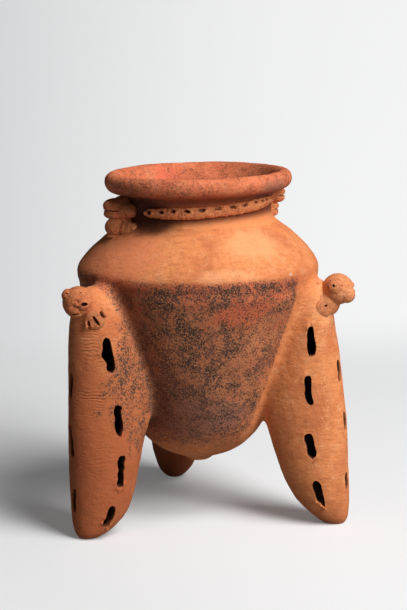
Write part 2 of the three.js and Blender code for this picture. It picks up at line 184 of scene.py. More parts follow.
def closeSkin():
    bpy.ops.mesh.select_all(action="SELECT")
    bpy.ops.mesh.normals_make_consistent(inside=False)
    leaveEdit()


# A turned shape from an outline of (radius, height), first and last point on the axis
def turnOutline(name, outline):
    radius, height = outline[0]
    piece = drawLine((axisX + radius * mm, axisY, height * mm), [(r, 0, z) for r, z in outline])
    piece.name = name
    bpy.ops.mesh.spin(steps=160, angle=math.tau, center=(axisX, axisY, 0), axis=(0, 0, 1), use_auto_merge=True)
    bpy.ops.mesh.select_all(action="SELECT")
    bpy.ops.mesh.remove_doubles(threshold=1e-6)
    closeSkin()
    return piece


def addDisc(sides):
    disc = addPrimitive(
        bpy.ops.mesh.primitive_circle_add, vertices=sides, radius=1, fill_type="NGON", location=(0, 0, 0))
    enterEdit(disc, "FACE")
    bpy.ops.mesh.select_all(action="SELECT")
    return disc


# A stack of oval rings (middle, deep, wide, height) along Z, closed at both ends
def stackRings(name, rings):
    piece = addDisc(48)
    piece.name = name
    middle, deep, wide, height = rings[0]
    bpy.ops.transform.resize(value=(deep * mm, wide * mm, 1))
    bpy.ops.transform.translate(value=(middle * mm, 0, height * mm))
    for ring in rings[1:]:
        step = ((ring[0] - middle) * mm, 0, (ring[3] - height) * mm)
        bpy.ops.mesh.extrude_region_move(TRANSFORM_OT_translate={"value": step})
        pivot = (ring[0] * mm, 0, ring[3] * mm)
        bpy.ops.transform.resize(value=(ring[1] / deep, ring[2] / wide, 1), center_override=pivot)
        middle, deep, wide, height = ring
    closeSkin()
    return piece


def addBall(place, size, turn=(0, 0, 0), segments=24):
    ball = addPrimitive(
        bpy.ops.mesh.primitive_uv_sphere_add, segments=segments, ring_count=segments // 2 + 2, radius=1)
    ball.scale = [s * mm for s in size]
    ball.rotation_euler = [math.radians(a) for a in turn]
    ball.location = [p * mm for p in place]
    settle(ball)
    return ball


def putAt(piece, matrix):
    piece.matrix_world = matrix
    settle(piece)


# Turned to an azimuth round the vase's own axis
def roundAxis(azimuth):
    return Matrix.Translation((axisX, axisY, 0)) @ Matrix.Rotation(math.radians(azimuth), 4, "Z")


def mix(a, b, t):
    return a + (b - a) * t


def smoothStep(x, low, high):
    t = np.clip((x - low) / (high - low), 0, 1)
    return t * t * (3 - 2 * t)


# A curve through points (x, y) that doesn't swing past them, read at any x
def curveThrough(points):
    xs = [p[0] for p in points]
    ys = [p[1] for p in points]
    slopes = [(b - a) / (d - c) for a, b, c, d in zip(ys, ys[1:], xs, xs[1:])]
    ends = [slopes[0]]
    for a, b in zip(slopes, slopes[1:]):
        ends.append(0 if a * b <= 0 else 2 * a * b / (a + b))
    ends.append(slopes[-1])

    def read(x):
        i = max(0, min(len(xs) - 2, sum(x > v for v in xs[1:])))
        h = xs[i + 1] - xs[i]
        t = (x - xs[i]) / h
        return (
            (2 * t**3 - 3 * t**2 + 1) * ys[i]
            + (t**3 - 2 * t**2 + t) * h * ends[i]
            + (3 * t**2 - 2 * t**3) * ys[i + 1]
            + (t**3 - t**2) * h * ends[i + 1]
        )
    return read


# Points along a smooth line through all the given ones
def alongSpline(points, each):
    line = []
    last = len(points) - 1
    for i in range(last):
        p0, p1, p2, p3 = (points[max(0, min(last, i + k))] for k in (-1, 0, 1, 2))
        for k in range(each):
            t = k / each
            line.append(tuple(
                0.5 * (2 * b + (c - a) * t + (2 * a - 5 * b + 4 * c - d) * t**2
                       + (3 * b - a - 3 * c + d) * t**3)
                for a, b, c, d in zip(p0, p1, p2, p3)
            ))
    line.append(tuple(points[-1]))
    return line


# The vessel: bowl, shoulder, neck and lip in one turned outline

vessel = {
    "bottom": 33.3,
    "roundRadius": 44,
    "bandFoot": (68.8, 135),      # where the cone of the bowl turns up into a nearly upright band
    "ridge": (69.7, 146),
    "nub": [(0, 30.8), (4.6, 31), (7.4, 32.4), (9.8, 34.6)],
    "ridgeEdge": [(69.9, 141.5), (70.1, 145), (69.6, 147.4)],
    "shoulder": [
        (68.5, 149.5), (66.8, 152), (63.5, 156.1), (60.2, 159.4), (56.6, 162.6), (53, 165.7),
        (48.6, 168.7), (45.1, 171.4)],
    "neck": [(42.9, 174.4), (41.9, 178.4), (41.9, 183.6), (43.2, 187.8)],
    "lip": [
        (45.6, 189.6), (48.8, 190), (51.8, 191.4), (53.6, 194.6), (53.2, 198.2), (51.1, 200.2),
        (48.7, 200.7), (46.5, 199.6), (44.6, 197), (42.4, 192.8), (39.8, 187.8), (37.7, 182.2),
        (36.8, 177), (37.2, 172.2), (39.6, 167.6), (43.8, 163.7), (47.6, 160.8)],
    "wall": 5.5,
    "innerShoulder": [
        (64.1, 144.6), (62.8, 148.4), (60.6, 151.4), (57, 154.9), (52.6, 158.5), (47.9, 160.6)],
    "innerTop": (45.4, 161.8),
    "neckJoint": 172.4,           # the rim piece is parted from the body here
    "rimLean": 1.5,
    "frontLift": 0.9,             # the ridge runs this much higher round the front
    "backLift": 0.6,              # and the rim this much higher at the back
    "leftLift": 0.7,              # and at its far left
    "rightDraw": 1.1,             # the shoulder is drawn in this much on its +X side
    "voxel": 0.84,
    "handMarks": [(42, 1.1), (13, 0.45), (4.5, 0.22)],   # unevenness: how wide and how deep
}


def coneLean():
    centre = vessel["bottom"] + vessel["roundRadius"]
    radius, height = vessel["bandFoot"]
    rise = height - centre
    return math.acos(vessel["roundRadius"] / math.hypot(radius, rise)) - math.atan2(rise, radius)


def bowlRadius(height):
    centre = vessel["bottom"] + vessel["roundRadius"]
    lean = coneLean()
    if height < centre - vessel["roundRadius"] * math.sin(lean):
        return math.sqrt(max(vessel["roundRadius"] ** 2 - (centre - height) ** 2, 0))
    (footRadius, foot), (radius, top) = vessel["bandFoot"], vessel["ridge"]
    if height < foot:
        return footRadius - (foot - height) * math.tan(lean)
    return mix(footRadius, radius, (height - foot) / (top - foot))


def bowlOutline(out, lowest, highest, count):
    centre = vessel["bottom"] + vessel["roundRadius"]
    lean = coneLean()
    full = math.pi / 2 - lean
    radius = vessel["roundRadius"] + out
    points = []
    for i in range(count + 1):
        angle = full * i / count
        point = (radius * math.sin(angle), centre - radius * math.cos(angle))
        if point[0] >= lowest:
            points.append(point)
    start = points[-1][1]
    for i in range(1, count + 1):
        height = mix(start, highest, i / count)
        points.append((bowlRadius(height) + out / math.cos(lean), height))
    return points


# The rim is higher on its +X side; the lean comes in over the shoulder
def leanRim(piece):
    slope = math.tan(math.radians(vessel["rimLean"]))
    for vertex in piece.data.vertices:
        x, y, z = vertex.co
        radius = math.hypot(x - axisX, y - axisY) + 1e-6
        share, low, high, back, far = (
            float(smoothStep(z, start * mm, end * mm))
            for start, end in ((125, 172), (125, 145), (148, 166), (170, 196), (184, 197)))
        belt = low * (1 - high)
        farLeft = max(0, (axisX - x) * 0.82 + (y - axisY) * 0.57) / radius
        frontLift = vessel["frontLift"] * mm * belt * max(0, (axisY - y) / radius)
        vertex.co.z += (x - axisX) * slope * share + frontLift
        vertex.co.z += vessel["backLift"] * mm * back * max(0, (y - axisY) / radius)
        vertex.co.z += vessel["leftLift"] * mm * far * farLeft**3
        vertex.co.x -= vessel["rightDraw"] * mm * belt * max(0, (x - axisX) / radius)


def vesselOutline():
    line = vessel["nub"] + bowlOutline(0, 11, 139.5, 14)
    line += vessel["ridgeEdge"]
    line += alongSpline([vessel["ridgeEdge"][-1]] + vessel["shoulder"] + vessel["neck"] + vessel["lip"], 3)[1:]
    return line + [(0, vessel["lip"][-1][1])]


vesselSolid = turnOutline("vesselSolid", vesselOutline())
leanRim(vesselSolid)
print("vessel turned")


# The legs: oval sections stacked from the foot to the crown

legForm = {
    # each leg's stations: height, reach of its outer side, reach of its inner side, half its breadth
    "sides": {
        "left": {"azimuth": 210, "head": (87.3, 134), "stations": [
            (0, 87.9, 76, 4.6), (4, 90, 68.8, 9.4), (13, 90.7, 58.6, 13.4), (25, 91, 53.9, 16.4),
            (40, 91.3, 50, 18), (52, 91.6, 47, 18.2), (66, 92, 41, 18.2), (80, 91.6, None, 18),
            (104, 90.7, None, 17.4), (122, 89.5, None, 15), (133, 86.9, None, 12),
            (139, 83.2, None, 8.6), (141.5, 79.8, None, 5.2)]},
        "right": {"azimuth": 330, "head": (82.9, 136), "stations": [
            (0, 87.6, 76, 4.4), (4, 89.7, 70.4, 8.6), (13, 90.1, 60.4, 12.8), (25, 89.8, 53.4, 16.2),
            (40, 89, 47.6, 17.8), (52, 88.7, 43.6, 17.8), (66, 87.5, 39, 17.8), (80, 85.9, None, 17.8),
            (104, 82.5, None, 15.8), (122, 79.7, None, 13.4), (133, 78.4, None, 10.8),
            (139, 75.6, None, 7.6), (141.5, 72.8, None, 4.2)]},
        "back": {"azimuth": 90, "head": (85, 135), "stations": [
            (0, 87.6, 76, 4.4), (4, 90, 69.6, 8.2), (13, 90.5, 59.8, 12.2), (25, 90.6, 53.6, 15.2),
            (40, 90.3, 48.8, 16.9), (52, 90.1, 45.2, 17.4), (66, 89.4, 40, 17.5),
            (80, 88.5, None, 17.3), (104, 86, None, 16.2), (122, 83, None, 13.8),
            (133, 80.6, None, 11.2), (139, 77.5, None, 7.9), (141.5, 74.4, None, 4.6)]},
    },
    "grow": 0.4,                                        # kneading takes this much off the outside again
    "top": 141.5,
    "bury": 9,
    "smear": (3, 9),                                    # the clay is smoothed over this far from where they meet
    "wall": 4,
    "chamber": (5, 124),
    "zone": {"from": 26, "half": 27.5, "top": 143.6},   # what is cut off the vessel as the leg's own piece
    "zoneWall": 2.8,                                    # the vessel keeps this much of its wall behind the leg
}


def legSection(side):
    stations = [
        (height, outer, bowlRadius(height) - legForm["bury"] if inner is None else inner, half)
        for height, outer, inner, half in legForm["sides"][side]["stations"]
    ]
    curves = [curveThrough([(s[0], s[k]) for s in stations]) for k in (1, 2, 3)]

    def section(height, inset=0):
        outer, inner, wide = (curve(height) for curve in curves)
        return (outer + inner) / 2, (outer - inner) / 2 - inset, wide - inset
    return section


def legMatrix(side):
    return roundAxis(legForm["sides"][side]["azimuth"])


def legStack(name, side, inset, heights):
    section = legSection(side)
    rings = []
    for height in heights:
        middle, deep, wide = section(height, inset)
        rings.append((middle, deep, wide, height))
    piece = stackRings(name, rings)
    putAt(piece, legMatrix(side))
    return piece


skinHeights = [
    0, 0.5, 1.4, 2.8, 4.6, 7, 10, 14, 19, *range(24, 132, 6), 132, 135, 137.5, 139.3, 140.5, 141.2, 141.5]
legStacks = [legStack(f"legStack_{side}", side, -legForm["grow"], skinHeights) for side in legForm["sides"]]
print("legs stacked")


# Slots through the leg walls. Those of the front rows follow their cut edges, as (across, along)
# round the middle; the others are two or three overlapping punches of a flat stick.

slots = {
    "width": 4.5,
    "start": 3.4,                 # the cutters start this far outside the leg
    "depths": (-3.2, -1.6, -9.4),
    "punchNarrows": (0.9, 0.94, 0.9),
    "edgeNarrows": (0.96, 0.95, 0.9),
    "edges": {
        "left": [
            (105.6, 61.5, [
                (-0.8, 10.6), (1.4, 9.6), (2.2, 6.9), (3, 2.4), (3.8, -1.5), (4.3, -4.9), (4.2, -8.3),
                (3.2, -10.1), (1.8, -10.6), (-0.3, -9), (-0.9, -6.8), (-0.7, -4.6), (-1.9, -2.8),
                (-3.3, -0.9), (-3.8, 1.1), (-3.2, 2.8), (-2.9, 4.9), (-3, 7.1), (-2.3, 9.1)]),
            (68.3, 72, [
                (-2.2, 9.2), (0.1, 9.5), (2, 8.5), (2.4, 7.3), (1.7, 5.7), (2.1, 2.2), (2.8, -1.2),
                (2.8, -4.6), (2.1, -6.8), (1.8, -8.5), (1, -9.5), (-0.6, -8.2), (-1.7, -6.4),
                (-2.6, -3.5), (-2.7, -0.6), (-2.3, 1.6), (-2.9, 4.5), (-3, 6.7)]),
            (39.5, 82, [
                (-0.6, 9.5), (2.8, 9.4), (3.3, 7), (2.5, 4.6), (2.9, 2.2), (2.1, -0.4), (2.5, -3.4),
                (2.2, -7.1), (1.6, -9.3), (-0.9, -9.5), (-2.4, -7.9), (-2.7, -5.8), (-1.9, -3.6),
                (-2.3, -1.2), (-1.5, 1.2), (-2, 3.8), (-2.2, 6.6)]),
            (13.9, 76.2, [
                (0.9, 6.9), (3, 5.4), (3.5, 1.9), (2.5, -1.7), (0.7, -4.5), (-0.9, -6.8), (-4, -6.9),
                (-3.9, -3.2), (-2.5, -0.3), (-1.7, 3.3), (-0.7, 5.6)]),
        ],
        "right": [
            (107.9, -69.1, [
                (-1.5, 8.4), (0.8, 9), (1.6, 6.7), (1.9, 3.3), (2.5, 0), (3.1, -3.4), (2.6, -6.8),
                (1.7, -8.4), (-1.1, -9), (-1.9, -6.8), (-2.5, -3.4), (-2.3, 0.5), (-2.6, 3.9),
                (-2, 6.7)]),
            (80, -69.7, [
                (-1.5, 8.7), (1, 9), (1.9, 7), (2, 3.1), (1.9, -0.4), (2.6, -4.4), (3.4, -7.3),
                (2.1, -9), (0.2, -8.7), (-1, -6.8), (-1.9, -4.2), (-2.3, -1.9), (-1.9, 0.7),
                (-2.4, 4.1), (-2.4, 6.7)]),
            (48.1, -77.6, [
                (-2.6, 6.6), (-1, 7.6), (1.3, 7.3), (2.7, 4.4), (3.4, 0.4), (4.4, -3), (4.2, -5.8),
                (2.1, -7.6), (1.3, -7.6), (-1.1, -5.4), (-1.4, -2), (-2.1, 0.9), (-3.2, 3.7), (-3, 6)]),
            (19.8, -77.1, [
                (-3.1, 7.7), (-1.4, 8.5), (0.9, 6.6), (1.7, 4.3), (2.6, 0), (3.5, -3.8), (3.9, -8.2),
                (3.2, -8.5), (0.9, -6.4), (-1.4, -4.3), (-2.2, -0.8), (-3.4, 2.2), (-3.9, 5.3)]),
        ],
    },
    "rows": {
        "left": [(87.7, -9, 16, 0), (56.5, -9, 19.5, 0), (22.7, -7, 16, 0)],
        "right": [(89.5, -7, 14, 0), (60.6, -6.5, 12, 0), (25.4, -8, 12, 0)],
        "back": [
            (106, 66, 18, 0), (74, 70, 18, 0), (44, 78, 17, -6), (16.5, 77, 15, 16), (88, -9, 15, 0),
            (58, -8, 16, 0), (24, -8, 14, 0)],
    },
    "burr": 0.8,
}


def slotPlace(side, height, angle):
    middle, deep, wide = legSection(side)(height)
    turn = math.radians(angle)
    foot = Vector((middle + deep * math.cos(turn), wide * math.sin(turn), height)) * mm
    out = Vector((math.cos(turn) / deep, math.sin(turn) / wide, 0)).normalized()
    up = Vector((0, 0, 1))
    across = up.cross(out)
    basis = Matrix((across, up, out)).transposed().to_4x4()
    return legMatrix(side) @ Matrix.Translation(foot) @ basis


def slotPunches(draw, length, slant):
    count = 3 if length > 16.5 else 2
    part = length / count * 1.42
    punches = []
    for i in range(count):
        along = mix(-(length - part) / 2, (length - part) / 2, i / (count - 1))
        across = draw.uniform(-0.55, 0.55) - math.tan(math.radians(slant)) * along
        width = slots["width"] * draw.uniform(0.82, 1.12)
        punches.append((across, along, width, part, draw.uniform(-9, 9) + slant))
    return punches


# What is selected in edit mode becomes a cutter that narrows on its way in
def pushThrough(tool, narrows, place):
    for depth, grow in zip(slots["depths"], slots[narrows]):
        bpy.ops.mesh.extrude_region_move(TRANSFORM_OT_translate={"value": (0, 0, depth * mm)})
        bpy.ops.transform.resize(value=(grow, grow, 1))
    closeSkin()
    putAt(tool, place)
    return tool


def punchTool(place, punch, seed):
    across, along, width, length, turn = punch
    tool = addDisc(18)
    bpy.ops.transform.resize(value=(width / 2 * mm, length / 2 * mm, 1))
    bpy.ops.transform.vertex_random(offset=0.32 * mm, seed=seed)
    bpy.ops.transform.resize(value=(1, 1, 0))
    bpy.ops.transform.translate(value=(0, 0, slots["start"] * mm))
    shift = Matrix.Translation((across * mm, along * mm, 0)) @ Matrix.Rotation(math.radians(turn), 4, "Z")
    return pushThrough(tool, "punchNarrows", place @ shift)


# A cutter with the given cut edge, drawn point by point, filled and pushed through the wall
def edgeTool(place, edge):
    tool = drawLine((edge[0][0] * mm, edge[0][1] * mm, slots["start"] * mm), [(x, y, 0) for x, y in edge])
    bpy.ops.mesh.edge_face_add()
    return pushThrough(tool, "edgeNarrows", place)


# Thin rims of clay pushed up along the left and lower edges of a slot
def burrBalls(place, edge, draw):
    balls = []
    for x, y in edge[::2]:
        if x > 0.8 and y > -4:
            continue
        size = slots["burr"] * draw.uniform(0.6, 1.05)
        away = math.hypot(x, y / 3) + 0.01
        ball = addBall((x + 0.5 * x / away, y + 0.3 * y / away, 0), (size, size * 1.7, size), segments=8)
        putAt(ball, place)
        balls.append(ball)
    return balls


punchTools = {side: [] for side in legForm["sides"]}
burrs = []
for side, row in slots["rows"].items():
    draw = random.Random("slots " + side)
    layers = [[], [], []]
    for height, angle, edge in slots["edges"].get(side, []):
        place = slotPlace(side, height, angle)
        edge = alongSpline(edge + edge[:1], 2)[:-1]
        layers[0].append(edgeTool(place, edge))
        burrs += burrBalls(place, edge, draw)
    for n, (height, angle, length, slant) in enumerate(row):
        place = slotPlace(side, height, angle)
        for i, punch in enumerate(slotPunches(draw, length, slant)):
            layers[i].append(punchTool(place, punch, 31 * n + 7 * i + 1))
    punchTools[side] = [joinPieces(f"punches_{side}_{i}", layer) for i, layer in enumerate(layers) if layer]
print("slot tools cut", len(burrs))


# Knead it all into one, and smooth the clay over where the legs meet the bowl

clayMass = joinPieces("clayMass", [vesselSolid] + legStacks + burrs)
remesh(clayMass, vessel["voxel"])
print("clay mass", len(clayMass.data.vertices))


def vertexArray(piece):
    co = np.empty(len(piece.data.vertices) * 3)
    piece.data.vertices.foreach_get("co", co)
    return co.reshape(-1, 3)


def paintGroup(piece, name, weights):
    group = piece.vertex_groups.new(name=name)
    levels = np.round(weights * 20).astype(int)
    for level in range(1, 21):
        picked = np.nonzero(levels == level)[0]
        if len(picked):
            group.add(picked.tolist(), level / 20, "REPLACE")


def junctionWeights(co):
    x, y, z = (co - np.array([axisX, axisY, 0])).T / mm
    radius = np.hypot(x, y)
    heights = np.arange(0, 146.0, 1.0)
    bowl = np.interp(z, heights, [bowlRadius(max(h, vessel["bottom"])) for h in heights])
    fromBowl = np.abs(radius - bowl) * math.cos(coneLean())
    below = z < vessel["bottom"] + 8
    fromBowl[below] = 30
    weights = np.zeros(len(co))
    for side, form in legForm["sides"].items():
        turn = math.radians(form["azimuth"])
        lx = x * math.cos(turn) + y * math.sin(turn)
        ly = -x * math.sin(turn) + y * math.cos(turn)
        section = legSection(side)
        table = np.array([section(min(h, legForm["top"])) for h in heights])
        middle, deep, wide = (np.interp(z, heights, table[:, k]) for k in range(3))
        oval = np.hypot((lx - middle) / deep, ly / wide)
        fromLeg = np.abs(oval - 1) * wide
        near = (1 - smoothStep(fromBowl, *legForm["smear"])) * (1 - smoothStep(fromLeg, *legForm["smear"]))
        weights = np.maximum(weights, near * (z < 145) * (lx > 0))
    return weights


weights = junctionWeights(vertexArray(clayMass))
paintGroup(clayMass, "junction", weights)
smooth(clayMass, 70, 0.9, "junction")
smooth(clayMass, 3, 0.5)
for size, strength in vessel["handMarks"]:
    roughen(clayMass, size, strength)
print("clay smoothed")


# Hollow it, and part it into vessel, rim and legs along hidden joints

def innerOutline():
    wall, top = vessel["wall"], vessel["innerTop"]
    line = [(0, vessel["bottom"] + wall)] + bowlOutline(-wall, 1, 139, 12)
    line += alongSpline([line[-1]] + vessel["innerShoulder"], 4)[1:]
    return line + [top, (0, top[1])]


def shellOutline(inset):
    return [(0, vessel["bottom"] + inset)] + bowlOutline(-inset, 1, 146, 12) + [(0, 146)]


def addBlock(name, low, high, matrix):
    block = addPrimitive(bpy.ops.mesh.primitive_cube_add, size=1, location=(0, 0, 0))
    block.name = name
    block.scale = [(b - a) * mm for a, b in zip(low, high)]
    block.location = [(a + b) / 2 * mm for a, b in zip(low, high)]
    settle(block)
    putAt(block, matrix)
    return block


legPieces = {}
midWall = turnOutline("midWall", shellOutline(legForm["zoneWall"]))
for side in legForm["sides"]:
    zone = legForm["zone"]
    low, high = (zone["from"], -zone["half"], -5), (130, zone["half"], zone["top"])
    tool = addBlock(f"zone_{side}", low, high, legMatrix(side))
    cut(tool, midWall, keepTool=True)
    leg = copyPiece(clayMass, f"leg{side.capitalize()}")
    cut(leg, tool, "INTERSECT", keepTool=True)
    cut(clayMass, tool)
    legPieces[side] = leg
dropPiece(midWall)
rim = copyPiece(clayMass, "rim")
upper = addBlock("upper", (-90, -90, vessel["neckJoint"]), (90, 90, 260), Matrix.Translation((axisX, axisY, 0)))
cut(rim, upper, "INTERSECT", keepTool=True)
cut(clayMass, upper)
body = clayMass
body.name = "body"
hollow = turnOutline("hollow", innerOutline())
leanRim(hollow)
cut(body, hollow)
print("parted", {p.name: len(p.data.polygons) for p in [body, rim] + list(legPieces.values())})

bowlSkin = turnOutline("bowlSkin", shellOutline(-0.4))
for side, leg in legPieces.items():
    low, high = legForm["chamber"]
    heights = [low, low + 1.2, low + 3.4, 12, 18, *range(25, 120, 7), 121, 123, high]
    chamber = legStack(f"chamber_{side}", side, legForm["wall"], heights)
    cut(chamber, bowlSkin, keepTool=True)
    uncut = surfaceOf(leg)
    cut(leg, chamber)
    for tool in punchTools[side]:
        cut(leg, tool)
    markDepth(leg, uncut)
dropPiece(bowlSkin)
print("hollowed", {p.name: len(p.data.polygons) for p in [body, rim] + list(legPieces.values())})


# Small lumps of clay: balls pressed together, then slit and pricked with a stick

def pressLump(name, balls, matrix, voxel, times, wobble):
    lump = joinPieces(name, [addBall(*ball) for ball in balls])
    putAt(lump, matrix)
    remesh(lump, voxel)
    smooth(lump, times)
    roughen(lump, 5, wobble)
    roughen(lump, 1.6, wobble * 0.45)
    return lump


def stick(lump, marks, matrix):
    uncut = surfaceOf(lump)
    for mark in marks:
        tool = addBall(*mark, segments=14)
        putAt(tool, matrix)
        cut(lump, tool)
    markDepth(lump, uncut)


def headPoint(azimuth, elevation, radius):
    a, e = math.radians(azimuth), math.radians(elevation)
    return radius * math.cos(e) * math.cos(a), radius * math.cos(e) * math.sin(a), radius * math.sin(e)


# The animal on each leg, laid out round the middle of its head, looking out along +X

animal = {
    "headSize": (8.9, 9, 9),
    # eyes: azimuth, elevation, size, roll and share of the slit; grooves: eye, reach, from and to round it
    # paws: place, azimuth, and slits as (across, up, angle, half its length)
    "heads": {
        "left": {
            "eyes": [(73, 3, 3.9, 0, 0.5), (-30, 36, 3.6, 0, 0.3)],
            "grooves": [(0, 4.6, 70, 130)],
            "snout": ((20, -32, 5.6), (4.6, 5.6, 4.2)),
            "mouth": (38, -33),
            "paws": [
                ((-2.4, 11.4, -8.4), 50, [
                    (-3.4, -2.4, -84, 2.7), (0.7, -0.4, -58, 3.6), (3.7, 3, -60, 2.7)]),
                ((-5.6, -8.8, -8.4), -50, [(-3.6, 2.4, 62, 2), (-0.4, -0.8, 78, 2.8), (3.4, -2.4, 96, 2)])],
        },
        "right": {
            "eyes": [(60, 16, 3.8, 0, 0.3), (-87, 19, 4.3, 42, 0.16)],
            "grooves": [(1, 4.7, 150, 262), (1, 4.4, 62, 84)],
            "snout": ((-16, -25, 6.6), (4.8, 4.9, 4.7)),
            "mouth": (8, -15),
            "paws": [
                ((-7, 8.2, -9.6), 50, [(-3.4, -2.4, -80, 1.9), (0.4, -0.8, -66, 2.8), (3.4, 2.6, -60, 2)]),
                ((-6.6, -7.9, -10.4), -62, [(-2.9, -1.8, -34, 0.9), (1.4, 2, -72, 0.7)])],
            "armIn": 1.6,
        },
        "back": {
            "eyes": [(48, 13, 3.8, 4, 0.46), (-46, 13, 3.8, -4, 0.46)],
            "grooves": [(0, 4.6, 190, 250)],
            "snout": ((0, -28, 6), (4.6, 5.4, 4.4)),
            "mouth": (2, -29),
            "paws": [
                ((-3.2, 10.3, -8.8), 50, [
                    (-3.8, -2.7, -82, 2.2), (0.6, -0.6, -60, 3.3), (4, 3.1, -58, 2.6)]),
                ((-3.2, -10.3, -8.8), -50, [
                    (-3.8, 3, 60, 2.5), (-0.4, -0.8, 74, 3.2), (3.8, -2.6, 88, 2.3)])],
        },
    },
    "underChin": ((-5.6, 0, -7.4), (7, 9.2, 8.4)),
    "arm": [(-9.6, 3.8, 2.2), (-8.6, 5.6, -1.2), (-6.4, 7, -5)],
    "armSize": 2.3,
    "pawSize": (2.5, 5.7, 5.5),
    "slit": 0.95,
    "voxel": 0.36,
}


def animalBalls(form):
    snoutPlace, snoutSize = form["snout"]
    balls = [((0, 0, 0), animal["headSize"]), animal["underChin"], (headPoint(*snoutPlace), snoutSize)]
    marks = []
    for azimuth, elevation, size, roll, gape in form["eyes"]:
        turn = (roll, -elevation, azimuth)
        balls.append((headPoint(azimuth, elevation, 8), (2.6, size, size * 0.94), turn))
        marks.append((headPoint(azimuth - 2, elevation, 10), (3.2, size * gape, animal["slit"] * 1.1), turn))
        for k in range(9):
            t = math.tau * k / 9
            shift = [math.degrees(size * 1.12 * turned(t) / 9.6) for turned in (math.cos, math.sin)]
            marks.append((headPoint(azimuth + shift[0], elevation + shift[1], 9.5), (1, 1, 0.6)))
    for eye, reach, low, high in form["grooves"]:
        azimuth, elevation = form["eyes"][eye][:2]
        for k in range(7):
            t = math.radians(mix(low, high, k / 6))
            shift = [math.degrees(reach * turned(t) / 8.9) for turned in (math.cos, math.sin)]
            marks.append((headPoint(azimuth + shift[0], elevation + shift[1], 9.7), (1.7, 0.9, 0.9)))
    azimuth, elevation = form["mouth"]
    for rise, size in ((8, 1.4), (-8, 1.5)):
        turn = (0, -(elevation + rise), azimuth)
        balls.append((headPoint(azimuth, elevation + rise, 8.6), (1.4, 3.2, size), turn))
    marks.append((headPoint(azimuth, elevation, 9.9), (2.8, 2.5, 0.8), (0, -elevation, azimuth)))
    balls.append((headPoint(azimuth + 6, elevation + 32, 8.3), (1.5, 2.3, 1.7)))
    marks.append((headPoint(azimuth - 42, elevation + 8, 9), (0.9, 0.7, 0.7)))
    marks.append((headPoint(form["eyes"][0][0] - 8, 44, 9), (0.7, 1.3, 0.4)))
    return balls, marks


def pawBalls(place, azimuth, slits, armIn):
    hand = 1 if place[1] > 0 else -1
    balls = [(place, animal["pawSize"], (0, 4, azimuth))]
    marks = []
    a = math.radians(azimuth)
    across, out = Vector((-math.sin(a), math.cos(a), 0)), Vector((math.cos(a), math.sin(a), 0))
    up = Vector((0, 0, 1))
    for x, y, angle, half in slits:
        t = math.radians(angle)
        middle = Vector(place) + across * x + up * y
        marks.append((tuple(middle + out * 2.3), (2.3, half, animal["slit"]), (angle, 0, azimuth)))
        beside = across * -math.sin(t) + up * math.cos(t)
        for shift in (-1.45, 1.45):
            ridge = middle + out * 1.1 + beside * shift
            balls.append((tuple(ridge), (1.2, half, 0.85), (angle, 0, azimuth)))
    path = alongSpline([(x - armIn, y * hand, z) for x, y, z in animal["arm"]] + [place], 4)
    for i, point in enumerate(path[:-2]):
        size = animal["armSize"] * (1 - 0.1 * i / len(path))
        balls.append((point, (size, size, size)))
    return balls, marks


def makeAnimal(side):
    form = animal["heads"][side]
    reach, height = legForm["sides"][side]["head"]
    matrix = legMatrix(side) @ Matrix.Translation((reach * mm, 0, height * mm))
    balls, marks = animalBalls(form)
    for paw in form["paws"]:
        more, slits = pawBalls(*paw, form.get("armIn", 0))
        balls += more
        marks += slits
    lump = pressLump(f"animal{side.capitalize()}", balls, matrix, animal["voxel"], 4, 0.3)
    stick(lump, marks, matrix)
    return lump


animals = {side: makeAnimal(side) for side in legForm["sides"]}
print("animals modelled", {k: len(a.data.polygons) for k, a in animals.items()})


# Slit knobs on the neck: two lobes with a groove between

knobForm = {
    "knobLeftUpper": {
        "azimuth": 187, "reach": 49.6, "height": 180.6, "size": (7, 7, 6.2), "groove": -0.6, "tail": 4.6},
    "knobLeftLower": {
        "azimuth": 188, "reach": 48.8, "height": 169.8, "size": (7, 7.2, 6.5), "groove": -3.2, "tail": 7.5},
    "knobRightUpper": {"azimuth": 0, "reach": 46, "height": 186, "size": (5.5, 5.8, 4.7), "groove": 0},
    "knobRightLower": {"azimuth": 0, "reach": 42.8, "height": 177.8, "size": (4.9, 5.8, 4.5), "groove": 0.2},
}


def makeKnob(name, form):
    deep, wide, half = form["size"]
    matrix = roundAxis(form["azimuth"]) @ Matrix.Translation((form["reach"] * mm, 0, form["height"] * mm))
    groove = form["groove"]
    upper, lower = (half - groove) / 2, (half + groove) / 2
    balls = [
        ((0, 0, groove + upper * 0.8), (deep, wide, upper * 1.2)),
        ((-0.2, 0, groove - lower * 0.8), (deep * 0.96, wide * 0.97, lower * 1.2)),
        ((-0.5, 0, 0), (deep, wide, half * 0.98)),
        ((-4.6, 0, 0.6), (deep * 0.95, wide * 1.15, half * 1.12)),
    ]
    if "tail" in form:
        for share in (0.35, 0.7, 1):
            shrink = 1 - 0.28 * share
            place = (-2 - 5 * share, 3 + form["tail"] * share, -0.4)
            balls.append((place, (5.4 * shrink, 5, half * 0.92 * shrink)))
    knob = pressLump(name, balls, matrix, 0.34, 4, 0.35)
    marks = [
        ((*headPoint(turn, 0, deep * 0.92)[:2], groove), (1, 2, 0.42), (0, 0, turn))
        for turn in range(-70, 116, 12)
    ]
    stick(knob, marks, matrix)
    return knob


knobs = {name: makeKnob(name, form) for name, form in knobForm.items()}
print("knobs modelled")


# Pricked fillets: a rolled strip of clay round the neck, pricked with the end of a reed

